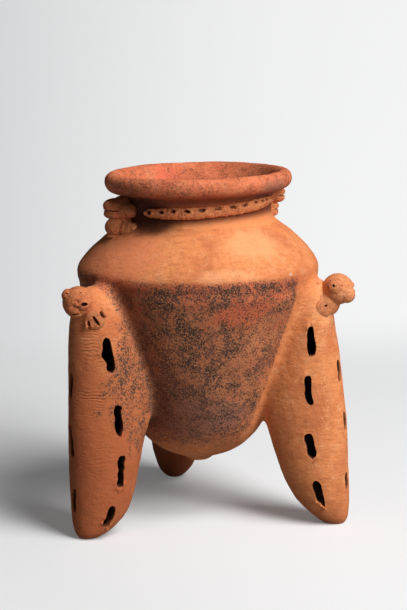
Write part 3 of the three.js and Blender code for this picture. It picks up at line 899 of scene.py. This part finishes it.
fillet = {
    "reach": 42.8,
    "height": 182.6,
    "lean": 4.4,
    "size": (2.75, 3.25),
    "balls": 72,
    "sag": 0.9,                   # how far its middle hangs
    "crumbs": 6,                  # clay pushed up under each prick
    "spans": {"filletFront": (-143.5, -30), "filletBack": (34, 146)},
    "pricks": {
        "filletFront": [-139.5, -129, -119.3, -109.1, -98.6, -87, -75.8, -64.8, -55.4, -48.2, -41.9, -35],
        "filletBack": [41, 51.5, 61, 72, 82.4, 93, 104, 113, 123.6, 133.5, 141],
    },
}


def filletMatrix(azimuth, out):
    turn = math.radians(azimuth)
    reach = fillet["reach"] + out
    x, y = reach * math.cos(turn), reach * math.sin(turn)
    height = fillet["height"] + x * math.tan(math.radians(fillet["lean"]))
    place = Matrix.Translation((axisX + x * mm, axisY + y * mm, height * mm))
    return place @ Matrix.Rotation(turn, 4, "Z")


def makeFillet(name):
    draw = random.Random(name)
    low, high = fillet["spans"][name]
    deep, half = fillet["size"]
    balls = []
    for i in range(fillet["balls"] + 1):
        share = i / fillet["balls"]
        taper = math.sqrt(1 - 0.7 * abs(2 * share - 1) ** 8)
        size = [deep * taper * draw.uniform(0.94, 1.05), 2.2, half * taper * draw.uniform(0.93, 1.05)]
        sag = fillet["sag"] * float(smoothStep(min(share, 1 - share), 0.04, 0.3))
        ball = addBall((draw.uniform(-0.15, 0.15), 0, draw.uniform(-0.22, 0.22) - sag), size, segments=14)
        putAt(ball, filletMatrix(mix(low, high, share), 0))
        balls.append(ball)
    for azimuth in fillet["pricks"][name]:
        for k in range(fillet["crumbs"]):
            angle = math.radians(mix(190, 350, k / (fillet["crumbs"] - 1)) + draw.uniform(-14, 14))
            place = (0, 2.3 * math.cos(angle), 0.9 + 1.8 * math.sin(angle))
            ball = addBall(place, (0.5, 0.85, 0.6), segments=8)
            putAt(ball, filletMatrix(azimuth, deep - 0.2))
            balls.append(ball)
    strip = joinPieces(name, balls)
    remesh(strip, 0.36)
    smooth(strip, 4)
    roughen(strip, 4, 0.35)
    uncut = surfaceOf(strip)
    for n, azimuth in enumerate(fillet["pricks"][name]):
        small = 0.62 if n > 7 and name == "filletFront" else 1
        tool = addPrimitive(
            bpy.ops.mesh.primitive_cone_add, vertices=5, radius1=1 * mm, radius2=2.9 * mm, depth=4.2 * mm)
        enterEdit(tool)
        bpy.ops.mesh.select_all(action="SELECT")
        bpy.ops.transform.vertex_random(offset=0.45 * mm, seed=n + 3)
        leaveEdit()
        inward = Matrix.Rotation(math.radians(90), 4, "Y")
        rolled = Matrix.Rotation(math.radians(draw.uniform(-16, 16)), 4, "Z")
        shift = Matrix.Translation((-0.2 * mm, draw.uniform(-0.3, 0.3) * mm, draw.uniform(0.7, 1.2) * mm))
        squeeze = Matrix.Diagonal((small * 0.74, small * 1.42, 1, 1))
        putAt(tool, filletMatrix(azimuth, deep) @ shift @ inward @ (rolled @ squeeze))
        cut(strip, tool)
    markDepth(strip, uncut)
    return strip


fillets = {name: makeFillet(name) for name in fillet["spans"]}
print("fillets modelled")


# Loose rattle pellets on the chamber floors

pellets = {"form": [(4.4, 80.5, 9.7), (3.8, 71.4, 10.9)], "wobble": 0.5}


def makePellet(side, number):
    radius, reach, height = pellets["form"][number - 1]
    pellet = addPrimitive(bpy.ops.mesh.primitive_ico_sphere_add, subdivisions=4, radius=radius * mm * 0.95)
    pellet.name = f"pellet{side.capitalize()}{number}"
    putAt(pellet, legMatrix(side) @ Matrix.Translation((reach * mm, 0, height * mm)))
    roughen(pellet, 2.6, pellets["wobble"])
    roughen(pellet, 0.9, pellets["wobble"] * 0.4)
    return pellet


pelletPieces = {(side, n): makePellet(side, n) for side in legForm["sides"] for n in (1, 2)}
print("pellets rolled")


# Finishes: each helper takes its node tree from the sockets that it is given

def plug(value, socket):
    if isinstance(value, (int, float)):
        socket.default_value = value
    elif isinstance(value, tuple):
        socket.default_value = value if socket.type == "VECTOR" else (*value, 1)
    else:
        socket.id_data.links.new(value, socket)


def newNode(kind, *values, **settings):
    tree = next(value.id_data for value in values if isinstance(value, bpy.types.NodeSocket))
    made = tree.nodes.new(kind)
    for key, setting in settings.items():
        setattr(made, key, setting)
    for value, socket in zip(values, made.inputs):
        plug(value, socket)
    return made


def reckon(operation, *values):
    return newNode("ShaderNodeMath", *values, operation=operation).outputs[0]


def plus(a, b, *more):
    total = reckon("ADD", a, b)
    return plus(total, *more) if more else total


def times(a, b, *more):
    product = reckon("MULTIPLY", a, b)
    return times(product, *more) if more else product


def minus(a, b):
    return reckon("SUBTRACT", a, b)


def over(a, b):
    return reckon("DIVIDE", a, b)


def highest(a, b):
    return reckon("MAXIMUM", a, b)


def ramp(value, low, high, toLow=0, toHigh=1, how="SMOOTHSTEP"):
    made = newNode("ShaderNodeMapRange", value, low, high, toLow, toHigh, interpolation_type=how)
    return made.outputs["Result"]


def fade(value, low, high, full=1):
    return ramp(value, low, high, full, 0)


def shiftVector(operation, vector, other):
    return newNode("ShaderNodeVectorMath", vector, other, operation=operation).outputs[0]


def partsOf(vector):
    return newNode("ShaderNodeSeparateXYZ", vector).outputs


def inMm(length):
    return times(length, 1000)


def noiseOf(vector, size, detail, rough, warp=0):
    scale = 1 / (size * mm) if isinstance(size, (int, float)) else over(1000, size)
    made = newNode("ShaderNodeTexNoise", vector)
    for label, value in (("Scale", scale), ("Detail", detail), ("Roughness", rough), ("Distortion", warp)):
        plug(value, made.inputs[label])
    return made.outputs["Fac"]


def blend(share, a, b):
    made = newNode("ShaderNodeMix", share, data_type="RGBA")
    plug(a, made.inputs[6])
    plug(b, made.inputs[7])
    return made.outputs[2]


def newGroup(name, vectors, colours, numbers, results):
    group = bpy.data.node_groups.new(name, "ShaderNodeTree")
    for labels, kind in ((vectors, "Vector"), (colours, "Color"), (numbers, "Float")):
        for label in labels:
            socket = group.interface.new_socket(label, in_out="INPUT", socket_type=f"NodeSocket{kind}")
            if kind == "Float":
                socket.default_value = numbers[label]
    for label in results:
        kind = "Color" if label == "Color" else "Float"
        group.interface.new_socket(label, in_out="OUTPUT", socket_type=f"NodeSocket{kind}")
    return group, group.nodes.new("NodeGroupInput").outputs, group.nodes.new("NodeGroupOutput").inputs


# The values fill the group's inputs in their order
def useGroup(group, *values):
    return newNode("ShaderNodeGroup", *values, node_tree=group).outputs


# Fired clay: pale and deep mottling at three scales, and streaks where it was wiped round level
tone, given, result = newGroup(
    "clayTone", ["Vector"], ["Base", "Deep", "Pale"], {"Cloud Size": 30, "Strength": 1}, ["Color"])
cloud = noiseOf(given["Vector"], given["Cloud Size"], 4, 0.6, 0.4)
mottle = noiseOf(given["Vector"], 5.5, 5, 0.65)
wiped = noiseOf(shiftVector("MULTIPLY", given["Vector"], (0.3, 0.3, 1)), 1.5, 4, 0.7)
fleck = noiseOf(given["Vector"], 1.2, 3, 0.65)
colour = given["Base"]
for share, label in (
    (times(ramp(cloud, 0.4, 0.7), given["Strength"], 0.7), "Deep"),
    (times(ramp(mottle, 0.48, 0.74), given["Strength"], 0.55), "Pale"),
    (ramp(wiped, 0.46, 0.66, 0, 0.5), "Deep"),
    (ramp(fleck, 0.52, 0.72, 0, 0.45), "Deep"),
):
    colour = blend(share, colour, given[label])
plug(colour, result["Color"])

# Grit and pits: coarse temper showing as bumps, and small holes where grains fell out
grit, given, result = newGroup(
    "gritAndPits", ["Vector"], [], {"Grit": 1, "Pits": 1}, ["Height", "Pit", "Dark Grain"])
fine = noiseOf(given["Vector"], 1.1, 4, 0.75)
broad = noiseOf(given["Vector"], 3.4, 3, 0.6)
wiped = noiseOf(shiftVector("MULTIPLY", given["Vector"], (0.25, 0.25, 1)), 1.6, 3, 0.65)
where = noiseOf(given["Vector"], 9, 2, 0.5)
cells = newNode("ShaderNodeTexVoronoi", given["Vector"])
plug(1 / (2.6 * mm), cells.inputs["Scale"])
size = ramp(where, 0.5, 0.8, 0, 0.26)
hole = times(ramp(cells.outputs["Distance"], times(size, 0.45), size, 1, 0), given["Pits"])
relief = times(plus(times(fine, 0.6), times(broad, 0.6), times(wiped, 0.55)), given["Grit"])
grains = noiseOf(given["Vector"], 0.8, 2, 0.5)
plug(minus(relief, times(hole, 0.9)), result["Height"])
plug(hole, result["Pit"])
plug(times(ramp(grains, 0.6, 0.7), ramp(where, 0.35, 0.6)), result["Dark Grain"])

# Soot: fine dark specks, packed close in clouds; Amount is where and how much
soot, given, result = newGroup(
    "sootSpeckle", ["Vector"], [], {"Amount": 0.5, "Cloud Size": 16, "Speck Size": 1.1},
    ["Mask", "Smoke", "Ash"])
clouds = noiseOf(given["Vector"], given["Cloud Size"], 6, 0.75, 0.5)
density = times(ramp(clouds, 0.36, 0.66), given["Amount"])
specks = noiseOf(given["Vector"], given["Speck Size"], 2, 0.7)
clumps = noiseOf(given["Vector"], times(given["Speck Size"], 3.2), 3, 0.7)
edge = minus(0.565, times(density, 0.165))
mask = ramp(plus(times(specks, 0.72), times(clumps, 0.28)), minus(edge, 0.05), plus(edge, 0.05))
ashes = noiseOf(shiftVector("ADD", given["Vector"], (0.4, 0.2, 0.3)), 0.9, 2, 0.7)
plug(times(mask, ramp(given["Amount"], 0, 0.25)), result["Mask"])
plug(density, result["Smoke"])
plug(times(ramp(ashes, 0.51, 0.62), given["Amount"]), result["Ash"])

# A soft-edged patch round a place on the surface
patch, given, result = newGroup(
    "patch", ["Vector", "Place"], [], {"Reach": 20, "Stretch": 1, "Ragged": 0.4}, ["Mask"])
parts = partsOf(shiftVector("SUBTRACT", given["Vector"], given["Place"]))
tall = over(parts["Z"], given["Stretch"])
squares = [reckon("POWER", reckon("ABSOLUTE", part), 2) for part in (parts["X"], parts["Y"], tall)]
far = over(inMm(reckon("SQRT", plus(*squares))), given["Reach"])
torn = times(minus(noiseOf(given["Vector"], 11, 4, 0.65, 0.5), 0.5), times(given["Ragged"], 2.4))
plug(fade(plus(far, torn), 0.35, 1), result["Mask"])

# Finger wrinkles: fine level creases where the clay was drawn up wet
crease, given, result = newGroup("fingerWrinkles", ["Vector"], [], {"Spacing": 2.4, "Amount": 1}, ["Height"])
bend = times(noiseOf(given["Vector"], 16, 2, 0.5), 9)
phase = over(times(plus(inMm(partsOf(given["Vector"])["Z"]), bend), math.tau), given["Spacing"])
breaks = ramp(noiseOf(given["Vector"], 7, 3, 0.6), 0.42, 0.62)
plug(times(reckon("SINE", phase), 0.5, breaks, given["Amount"]), result["Height"])
print("finishes grouped")


def newFinish(name):
    finish = bpy.data.materials.new(name)
    finish.use_nodes = True
    nodes = finish.node_tree.nodes
    return finish, nodes["Principled BSDF"], nodes.new("ShaderNodeTexCoord").outputs["Object"]


def finishSurface(shader, colour, rough, height, depth):
    bump = height.id_data.nodes.new("ShaderNodeBump")
    for label, value in (("Strength", 1), ("Distance", depth * mm), ("Height", height)):
        plug(value, bump.inputs[label])
    for label, value in (("Base Color", colour), ("Roughness", rough), ("Normal", bump.outputs["Normal"])):
        plug(value, shader.inputs[label])
    plug(0.28, shader.inputs["Specular IOR Level"])


clay = {
    "orange": (0.83, 0.292, 0.102),
    "orangeDeep": (0.54, 0.14, 0.048),
    "orangePale": (0.90, 0.42, 0.20),
    "red": (0.64, 0.125, 0.05),
    "redBrown": (0.5, 0.16, 0.08),
    "brown": (0.17, 0.075, 0.045),
    "black": (0.034, 0.029, 0.027),
    "olive": (0.2, 0.1, 0.05),
    "ember": (0.62, 0.24, 0.1),
    # A bright orange for painted light
    "paintedLight": (0.98, 0.43, 0.185),
    # A deep red for painted shade, and for the redder clay of the left leg
    "burnt": (0.42, 0.105, 0.035),
    "coral": (0.86, 0.245, 0.11),
    "darkRed": (0.17, 0.04, 0.02),
    "plum": (0.25, 0.11, 0.085),
    # The next four colours are painted shade: inside slots, inside cuts and slits, on the neck under the lip,
    # and below the fillet and in the crease beside the left leg
    "inside": (0.05, 0.016, 0.007),
    "cut": (0.11, 0.033, 0.014),
    "shade": (0.07, 0.018, 0.007),
    "throat": (0.16, 0.04, 0.014),
    "scarlet": (0.8, 0.13, 0.07),
    "chip": (0.8, 0.6, 0.48),
}

# Places of the patches: azimuth, radius, height, how far they reach, how much taller than wide
patchPlaces = {
    "sootBroad": [
        (-126, 58, 106, 38, 1.3), (-104, 54, 92, 26, 1), (18, 62, 110, 50, 1.1), (44, 58, 96, 40, 1.1),
        (150, 60, 108, 54, 1.1)],
    "sootDense": [
        (-89, 68, 137, 12, 1), (-72, 69, 141, 11, 1), (-84, 62, 119, 10, 1.2), (-88, 50, 86, 15, 0.6),
        (-71, 51, 88, 14, 0.8), (-120, 58, 107, 22, 1), (-133, 50, 84, 18, 1), (-111, 62, 119, 18, 0.8),
        (-117, 68, 137, 16, 0.7), (-101, 55, 100, 15, 0.8)],
    "plum": [(-112, 42, 66, 32, 0.8), (-86, 42, 66, 24, 0.7), (-130, 46, 78, 22, 1)],
    "slip": [
        (-84, 66, 128, 19, 0.8), (-70, 67, 131, 14, 0.8), (-103, 69, 143, 20, 0.5),
        (-64, 69, 141, 18, 0.7)],
    "clean": [(-84, 66, 128, 14, 0.8), (-72, 67, 132, 15, 0.8), (-60, 62, 116, 16, 1)],
    # Painted shade on the left of the shoulder
    "shaded": [(214, 62, 156, 34, 1), (196, 66, 150, 26, 1)],
    # Painted light: the shoulder's top, the ridge's front and the right leg's crown
    "paintedLight": [(-68, 54, 164, 24, 0.5), (-88, 68, 148, 22, 0.3), (330, 80, 128, 20, 1)],
    "chip": [(-54, 69.5, 147.6, 1.7, 0.7)],
    "flank": [(228, 68, 92, 24, 1.6), (231, 64, 62, 16, 1.2)],
    # The left leg: partly its own redder clay, partly painted shade
    "leftLegRedAndShaded": [(212, 92, 50, 62, 1.5), (192, 90, 76, 34, 2)],
    # Painted shade on the back leg
    "backLegShade": [(90, 84, 40, 70, 2)],
    "wrinkles": [(218, 90, 116, 30, 0.7), (216, 92, 80, 24, 0.45), (216, 92, 50, 24, 0.5)],
    # Painted shadow on the neck under the lip and beside the left knobs
    "neckShadow": [(-153, 42, 181, 27, 0.6), (-140, 43, 175, 24, 0.42)],
    "redder": [(103, 44, 192, 12, 1)],
    "lipSoot": [
        (-150, 53, 191, 18, 0.6), (-125, 53, 191, 26, 0.4), (25, 44, 193, 17, 1),
        (-42, 54, 189, 16, 0.5), (170, 40, 180, 22, 1)],
    "dusty": [(-46, 54, 192, 17, 0.6)],
    # Painted shade on the left animal
    "leftHeadShade": [(210, 88, 133, 30, 1)],
    # Painted light on the right animal
    "rightHeadLit": [(330, 84, 133, 30, 1)],
}


def patches(where, name, ragged):
    masks = None
    for azimuth, radius, height, reach, stretch in patchPlaces[name]:
        turn = math.radians(azimuth)
        place = (axisX + radius * mm * math.cos(turn), axisY + radius * mm * math.sin(turn), height * mm)
        spot = useGroup(patch, where, place, reach, stretch, ragged)["Mask"]
        masks = spot if masks is None else highest(masks, spot)
    return masks


def mottled(where, base, cloudSize):
    return useGroup(tone, where, clay[base], clay["orangeDeep"], clay["orangePale"], cloudSize)["Color"]


# Lays colours over another one, each as (mask, share, colour)
def layOver(colour, *layers):
    for mask, share, name in layers:
        colour = blend(times(mask, share), colour, clay[name])
    return colour


def markedDepth(where):
    marked = where.id_data.nodes.new("ShaderNodeAttribute")
    marked.attribute_name = "depthInWall"
    return marked.outputs["Fac"]


# How far a place lies beside the upright plane through a leg's middle
def besideLeg(side, acrossMm, backMm):
    turn = math.radians(legForm["sides"][side]["azimuth"])
    return minus(times(backMm, math.cos(turn)), times(acrossMm, math.sin(turn)))


# The vessel and its legs share one finish, so that it runs on over the hidden joints
vesselFinish, shader, where = newFinish("vesselClay")
parts = partsOf(where)
heightMm = inMm(parts["Z"])
acrossMm, backMm = inMm(minus(parts["X"], axisX)), inMm(minus(parts["Y"], axisY))
radial = reckon("SQRT", plus(times(acrossMm, acrossMm), times(backMm, backMm)))
bandReach, bandHeight = vessel["bandFoot"]
coneAt = minus(bandReach, times(minus(bandHeight, heightMm), math.tan(coneLean())))
offBowl = minus(radial, reckon("MINIMUM", coneAt, 69.8))
onBowl = times(fade(offBowl, 2, 9), fade(heightMm, 142, 147.5))
wobble = times(minus(noiseOf(where, 14, 4, 0.6), 0.5), 14)
heightTorn = plus(heightMm, wobble)
legWidth = plus(times(heightMm, 0.075), 11.5)
for side in ("right", "back"):
    turn = math.radians(legForm["sides"][side]["azimuth"])
    outward = plus(times(acrossMm, math.cos(turn)), times(backMm, math.sin(turn)))
    beyond = minus(plus(reckon("ABSOLUTE", besideLeg(side, acrossMm, backMm)), times(wobble, 0.3)), legWidth)
    onBowl = times(onBowl, highest(ramp(beyond, -2, 2), fade(outward, 0, 12)))

colour = layOver(
    mottled(where, "orange", 34),
    # The left leg painted darker and redder: partly its own redder clay, partly painted shade on the side away
    # from the lamps
    (patches(where, "leftLegRedAndShaded", 0.2), 0.9, "burnt"),
    # Painted shade: the back leg, in the vessel's shadow, painted darker
    (patches(where, "backLegShade", 0.2), 0.7, "burnt"),
    # Painted shade: a redder tint on the left of the shoulder, away from the lamps
    (patches(where, "shaded", 0.4), 0.6, "coral"),
    # Painted light: brighter orange where the lamps fall on the shoulder, the ridge and the right crown
    (patches(where, "paintedLight", 0.5), 0.6, "paintedLight"),
)
# Painted shade: the legs' feet and the lowest clay painted darker towards the ground
colour = blend(fade(heightTorn, 4, 30, 0.4), colour, clay["burnt"])
worn = ramp(noiseOf(where, 24, 5, 0.65, 0.5), 0.3, 0.6, 0.3, 0.8)
colour = blend(times(onBowl, worn, ramp(heightTorn, 38, 66)), colour, clay["redBrown"])
colour = layOver(colour, (times(patches(where, "plum", 0.5), onBowl), 0.75, "plum"))
slipBand = times(ramp(heightTorn, 130, 141), fade(heightTorn, 143, 149), fade(offBowl, 0.8, 3))
slipBand = times(slipBand, ramp(onBowl, 0, 0.5, 0.25, 1))
slipPatches = ramp(noiseOf(where, 15, 5, 0.65, 0.5), 0.52, 0.66, 0, 0.8)
slipPatches = times(slipPatches, ramp(heightTorn, 84, 124), onBowl)
slipPatches = highest(slipPatches, times(patches(where, "slip", 0.7), onBowl))
colour = blend(highest(times(slipBand, 0.7), times(slipPatches, 0.75)), colour, clay["red"])

broadly, densely = patches(where, "sootBroad", 0.6), patches(where, "sootDense", 0.8)
sootShare = times(onBowl, ramp(heightTorn, 40, 66), plus(times(broadly, 0.5), times(densely, 0.7), 0.72))
sootShare = times(sootShare, minus(1, times(patches(where, "clean", 0.9), 0.6)))
sootShare = highest(sootShare, times(patches(where, "flank", 0.8), 0.7))
sooty = useGroup(soot, where, sootShare, 10, 0.95)
colour = layOver(
    colour, (sooty["Smoke"], 0.3, "olive"), (sooty["Mask"], 0.9, "black"), (sooty["Ash"], 0.62, "ember"))

# The shaded crease between the bowl and the left leg
beside = besideLeg("left", acrossMm, backMm)
creased = times(ramp(beside, 2, 9), fade(beside, 16, 46), fade(acrossMm, -6, 4))
creased = times(creased, times(fade(offBowl, 1, 5, 0.62), fade(heightMm, 140, 146)), ramp(heightMm, 46, 66))
colour = blend(creased, colour, clay["throat"])
gritty = useGroup(grit, where, 1, 1)
colour = layOver(
    colour,
    # Painted shadow on the neck under the lip and beside the left knobs
    (patches(where, "neckShadow", 0.16), 0.95, "shade"),
    (patches(where, "chip", 0.5), 0.6, "chip"),
    (gritty["Pit"], 0.3, "brown"),
    (gritty["Dark Grain"], 0.5, "brown"),
)
# Painted shade: the inside of slots and cuts painted near black, darker the deeper into the wall
colour = blend(markedDepth(where), colour, clay["inside"])
creases = useGroup(crease, where, 1.9, patches(where, "wrinkles", 0.5))["Height"]
relief = plus(times(gritty["Height"], 0.7), times(creases, 0.34))
finishSurface(shader, colour, ramp(noiseOf(where, 8, 3, 0.6), 0.3, 0.7, 0.72, 0.9), relief, 0.8)

# The neck and lip: coral slip, rubbed and sooted, with painted shadow under the fillet and painted shade under
# the roll of the lip
rimFinish, shader, where = newFinish("rimSlip")
parts = partsOf(where)
heightMm, acrossMm = inMm(parts["Z"]), inMm(minus(parts["X"], axisX))
overFillet = minus(heightMm, plus(times(acrossMm, math.tan(math.radians(fillet["lean"]))), fillet["height"]))
upLip = minus(heightMm, times(acrossMm, math.tan(math.radians(vessel["rimLean"]))))
colour = mottled(where, "coral", 20)
for mask, name in (
    (fade(heightMm, 174, 184), "orange"),
    # Painted shade: the neck under the roll of the lip painted darker
    (times(ramp(heightMm, 176, 184), fade(heightMm, 186, 190, 0.5)), "burnt"),
    # Painted shadow of the fillet on the neck below it
    (times(ramp(overFillet, -9.2, -5), fade(overFillet, -2, 1, 0.85)), "throat"),
):
    colour = blend(mask, colour, clay[name])
slipped = times(ramp(heightMm, 185, 190), ramp(noiseOf(where, 11, 5, 0.7, 0.4), 0.4, 0.62))
sootShare = plus(times(patches(where, "lipSoot", 0.7), 0.45), times(slipped, 0.35))
sooty = useGroup(soot, where, sootShare, 12, 1.3)
colour = layOver(
    colour,
    (patches(where, "redder", 0.9), 0.55, "scarlet"),
    (slipped, 0.6, "red"),
    (sooty["Smoke"], 0.35, "brown"),
    (sooty["Mask"], 0.62, "darkRed"),
    (sooty["Ash"], 0.5, "orangePale"),
)
# Painted shade under the roll of the lip, in dark red
colour = blend(times(ramp(upLip, 184, 188), fade(upLip, 189.4, 193.6, 0.62)), colour, clay["darkRed"])
gritty = useGroup(grit, where, 1, 0.8)
colour = layOver(
    colour,
    (patches(where, "dusty", 0.8), 0.5, "plum"),
    # Painted shadow on the neck under the lip and beside the left knobs
    (patches(where, "neckShadow", 0.16), 0.95, "shade"),
    (gritty["Pit"], 0.3, "brown"),
    (gritty["Dark Grain"], 0.6, "darkRed"),
)
finishSurface(shader, colour, ramp(noiseOf(where, 9, 3, 0.6), 0.3, 0.7, 0.6, 0.84), gritty["Height"], 0.62)

# The animals, knobs and fillets
appliedFinish, shader, where = newFinish("appliedClay")
sooty = useGroup(soot, where, 0.7, 6, 1)
gritty = useGroup(grit, where, 1, 0.9)
colour = layOver(
    mottled(where, "orange", 14),
    (sooty["Smoke"], 0.62, "coral"),
    (sooty["Mask"], 0.42, "darkRed"),
    (sooty["Ash"], 0.5, "orangePale"),
    (gritty["Pit"], 0.4, "brown"),
    # Painted shade: the left animal painted darker, away from the lamps
    (patches(where, "leftHeadShade", 0.3), 0.4, "burnt"),
    # Painted light: the right animal painted brighter, where the lamps fall
    (patches(where, "rightHeadLit", 0.3), 0.2, "paintedLight"),
)
# Painted shade: the inside of slits, pricks and grooves painted dark
colour = blend(markedDepth(where), colour, clay["cut"])
finishSurface(shader, colour, 0.84, gritty["Height"], 0.7)

pelletFinish, shader, where = newFinish("pelletClay")
finishSurface(shader, mottled(where, "orange", 6), 0.9, useGroup(grit, where, 1.2, 1)["Height"], 0.3)
print("finishes made")


# Every piece gets its finish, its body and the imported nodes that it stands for

def finishPiece(piece, finish, nodes, riding="vase"):
    piece.data.materials.clear()
    piece.data.materials.append(finish)
    piece.vertex_groups.clear()
    shadeSmooth(piece)
    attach(piece, riding)
    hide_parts(*nodes)


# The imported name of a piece: knobLeftUpper stands for knob_left_upper
def nodeName(name):
    return "".join("_" + letter.lower() if letter.isupper() else letter for letter in name)


finishPiece(body, vesselFinish, ["bowl", "shoulder"])
finishPiece(rim, rimFinish, ["neck", "lip"])
for side in legForm["sides"]:
    finishPiece(legPieces[side], vesselFinish, [f"leg_{side}"])
    animalNodes = [f"head_{side}", f"snout_{side}"]
    animalNodes += [f"{part}_{side}_{n}" for part in ("eye", "arm") for n in (1, 2)]
    finishPiece(animals[side], appliedFinish, animalNodes)
    for n in (1, 2):
        pelletNodes = [f"pellet_{side}_{n}"]
        finishPiece(pelletPieces[side, n], pelletFinish, pelletNodes, f"rattle_{side}_{n}")
for name, piece in (knobs | fillets).items():
    finishPiece(piece, appliedFinish, [nodeName(name)])
print("pieces riding")


# Studio: a pale sweep of paper, one large soft lamp from the right and a weaker one above it

studio = {
    "lamps": {
        "key": {"azimuth": 41, "elevation": 32, "away": 4, "size": 1.8, "watts": 106},
        "top": {"azimuth": 52, "elevation": 56, "away": 3, "size": 1.5, "watts": 60},
    },
    "aim": 0.09,                        # how high the lamps point
    "world": ((0.93, 0.95, 1, 1), 0.045),
    "paper": (0.8, 0.805, 0.81),
    "paperGrain": (0.7, 0.71, 0.72),
    "paperAside": (0.3, 0.3, 0.3),      # what the paper sends back on to the vase
    "paperLift": 0.13,                  # what it adds to its own lit colour in the picture
    "farSides": ((0.635, 0.64, 0.648), (0.888, 0.89, 0.892)),   # the far paper, left and right
    "fan": (0.194, 0.994),              # the far tone fans out from this far left of and before the origin
    "camera": {
        "place": (-0.19444, -0.99428, 0.2907), "down": 9.54, "roll": 0.18, "turn": -11.48, "lens": 103.1},
}

scene = bpy.context.scene
sheets = []
for name, back, rise in (("paperSweep", 20, 0), ("paperWall", 45, math.pi / 2)):
    turn = (rise, 0, 0)
    sheet = addPrimitive(bpy.ops.mesh.primitive_plane_add, size=60, location=(0, back, 0), rotation=turn)
    sheet.name = name
    settle(sheet)
    sheets.append(sheet)
paper, shader, where = newFinish("paper")
plug(0.95, shader.inputs["Roughness"])
parts = partsOf(where)
# Far from the vase the paper shows a set tone, painted paler to the right as falloff of the lamps' light; near
# the vase its own colour is painted a little darker to the left, the same painted falloff
left, before = studio["fan"]
sideways = over(plus(parts["X"], left), plus(reckon("ABSOLUTE", parts["Y"]), before))
away = ramp(sideways, 0.07, 0.33, 1, 0, "LINEAR")
across = minus(1, times(away, away))
farShare = ramp(parts["Y"], 0.28, 0.62)
lit = blend(ramp(across, 0, 1, 0.9, 1), (0, 0, 0), studio["paper"])
lit = blend(times(noiseOf(where, 2.5, 4, 0.6), 0.03), lit, studio["paperGrain"])
seen = where.id_data.nodes.new("ShaderNodeLightPath").outputs["Is Camera Ray"]
lift = blend(farShare, (studio["paperLift"],) * 3, blend(across, *studio["farSides"]))
plug(lift, shader.inputs["Emission Color"])
plug(seen, shader.inputs["Emission Strength"])
plug(blend(seen, studio["paperAside"], blend(farShare, lit, (0, 0, 0))), shader.inputs["Base Color"])
for sheet in sheets:
    sheet.data.materials.append(paper)

view = studio["camera"]
cameraData = bpy.data.cameras.new("camera")
camera = bpy.data.objects.new("camera", cameraData)
scene.collection.objects.link(camera)
camera.location = view["place"]
camera.rotation_euler = [math.radians(angle) for angle in (90 - view["down"], view["roll"], view["turn"])]
cameraData.sensor_width = 36
cameraData.sensor_fit = "AUTO"
cameraData.lens = view["lens"]
cameraData.clip_start = 0.05
cameraData.clip_end = 50
scene.camera = camera

for name, form in studio["lamps"].items():
    lampData = bpy.data.lights.new(name, "AREA")
    lampData.shape = "DISK"
    lampData.size = form["size"]
    lampData.energy = form["watts"]
    lamp = bpy.data.objects.new(name, lampData)
    scene.collection.objects.link(lamp)
    turn, rise = math.radians(form["azimuth"] - 11.5), math.radians(form["elevation"])
    outward = Vector((math.sin(turn) * math.cos(rise), -math.cos(turn) * math.cos(rise), math.sin(rise)))
    lamp.location = Vector((axisX, axisY, studio["aim"])) + outward * form["away"]
    lamp.rotation_euler = outward.to_track_quat("Z", "Y").to_euler()
world = bpy.data.worlds.new("studio")
scene.world = world
world.use_nodes = True
skyColour, skyStrength = studio["world"]
world.node_tree.nodes["Background"].inputs["Color"].default_value = skyColour
world.node_tree.nodes["Background"].inputs["Strength"].default_value = skyStrength
scene.view_settings.view_transform = "Standard"
print("studio lit")
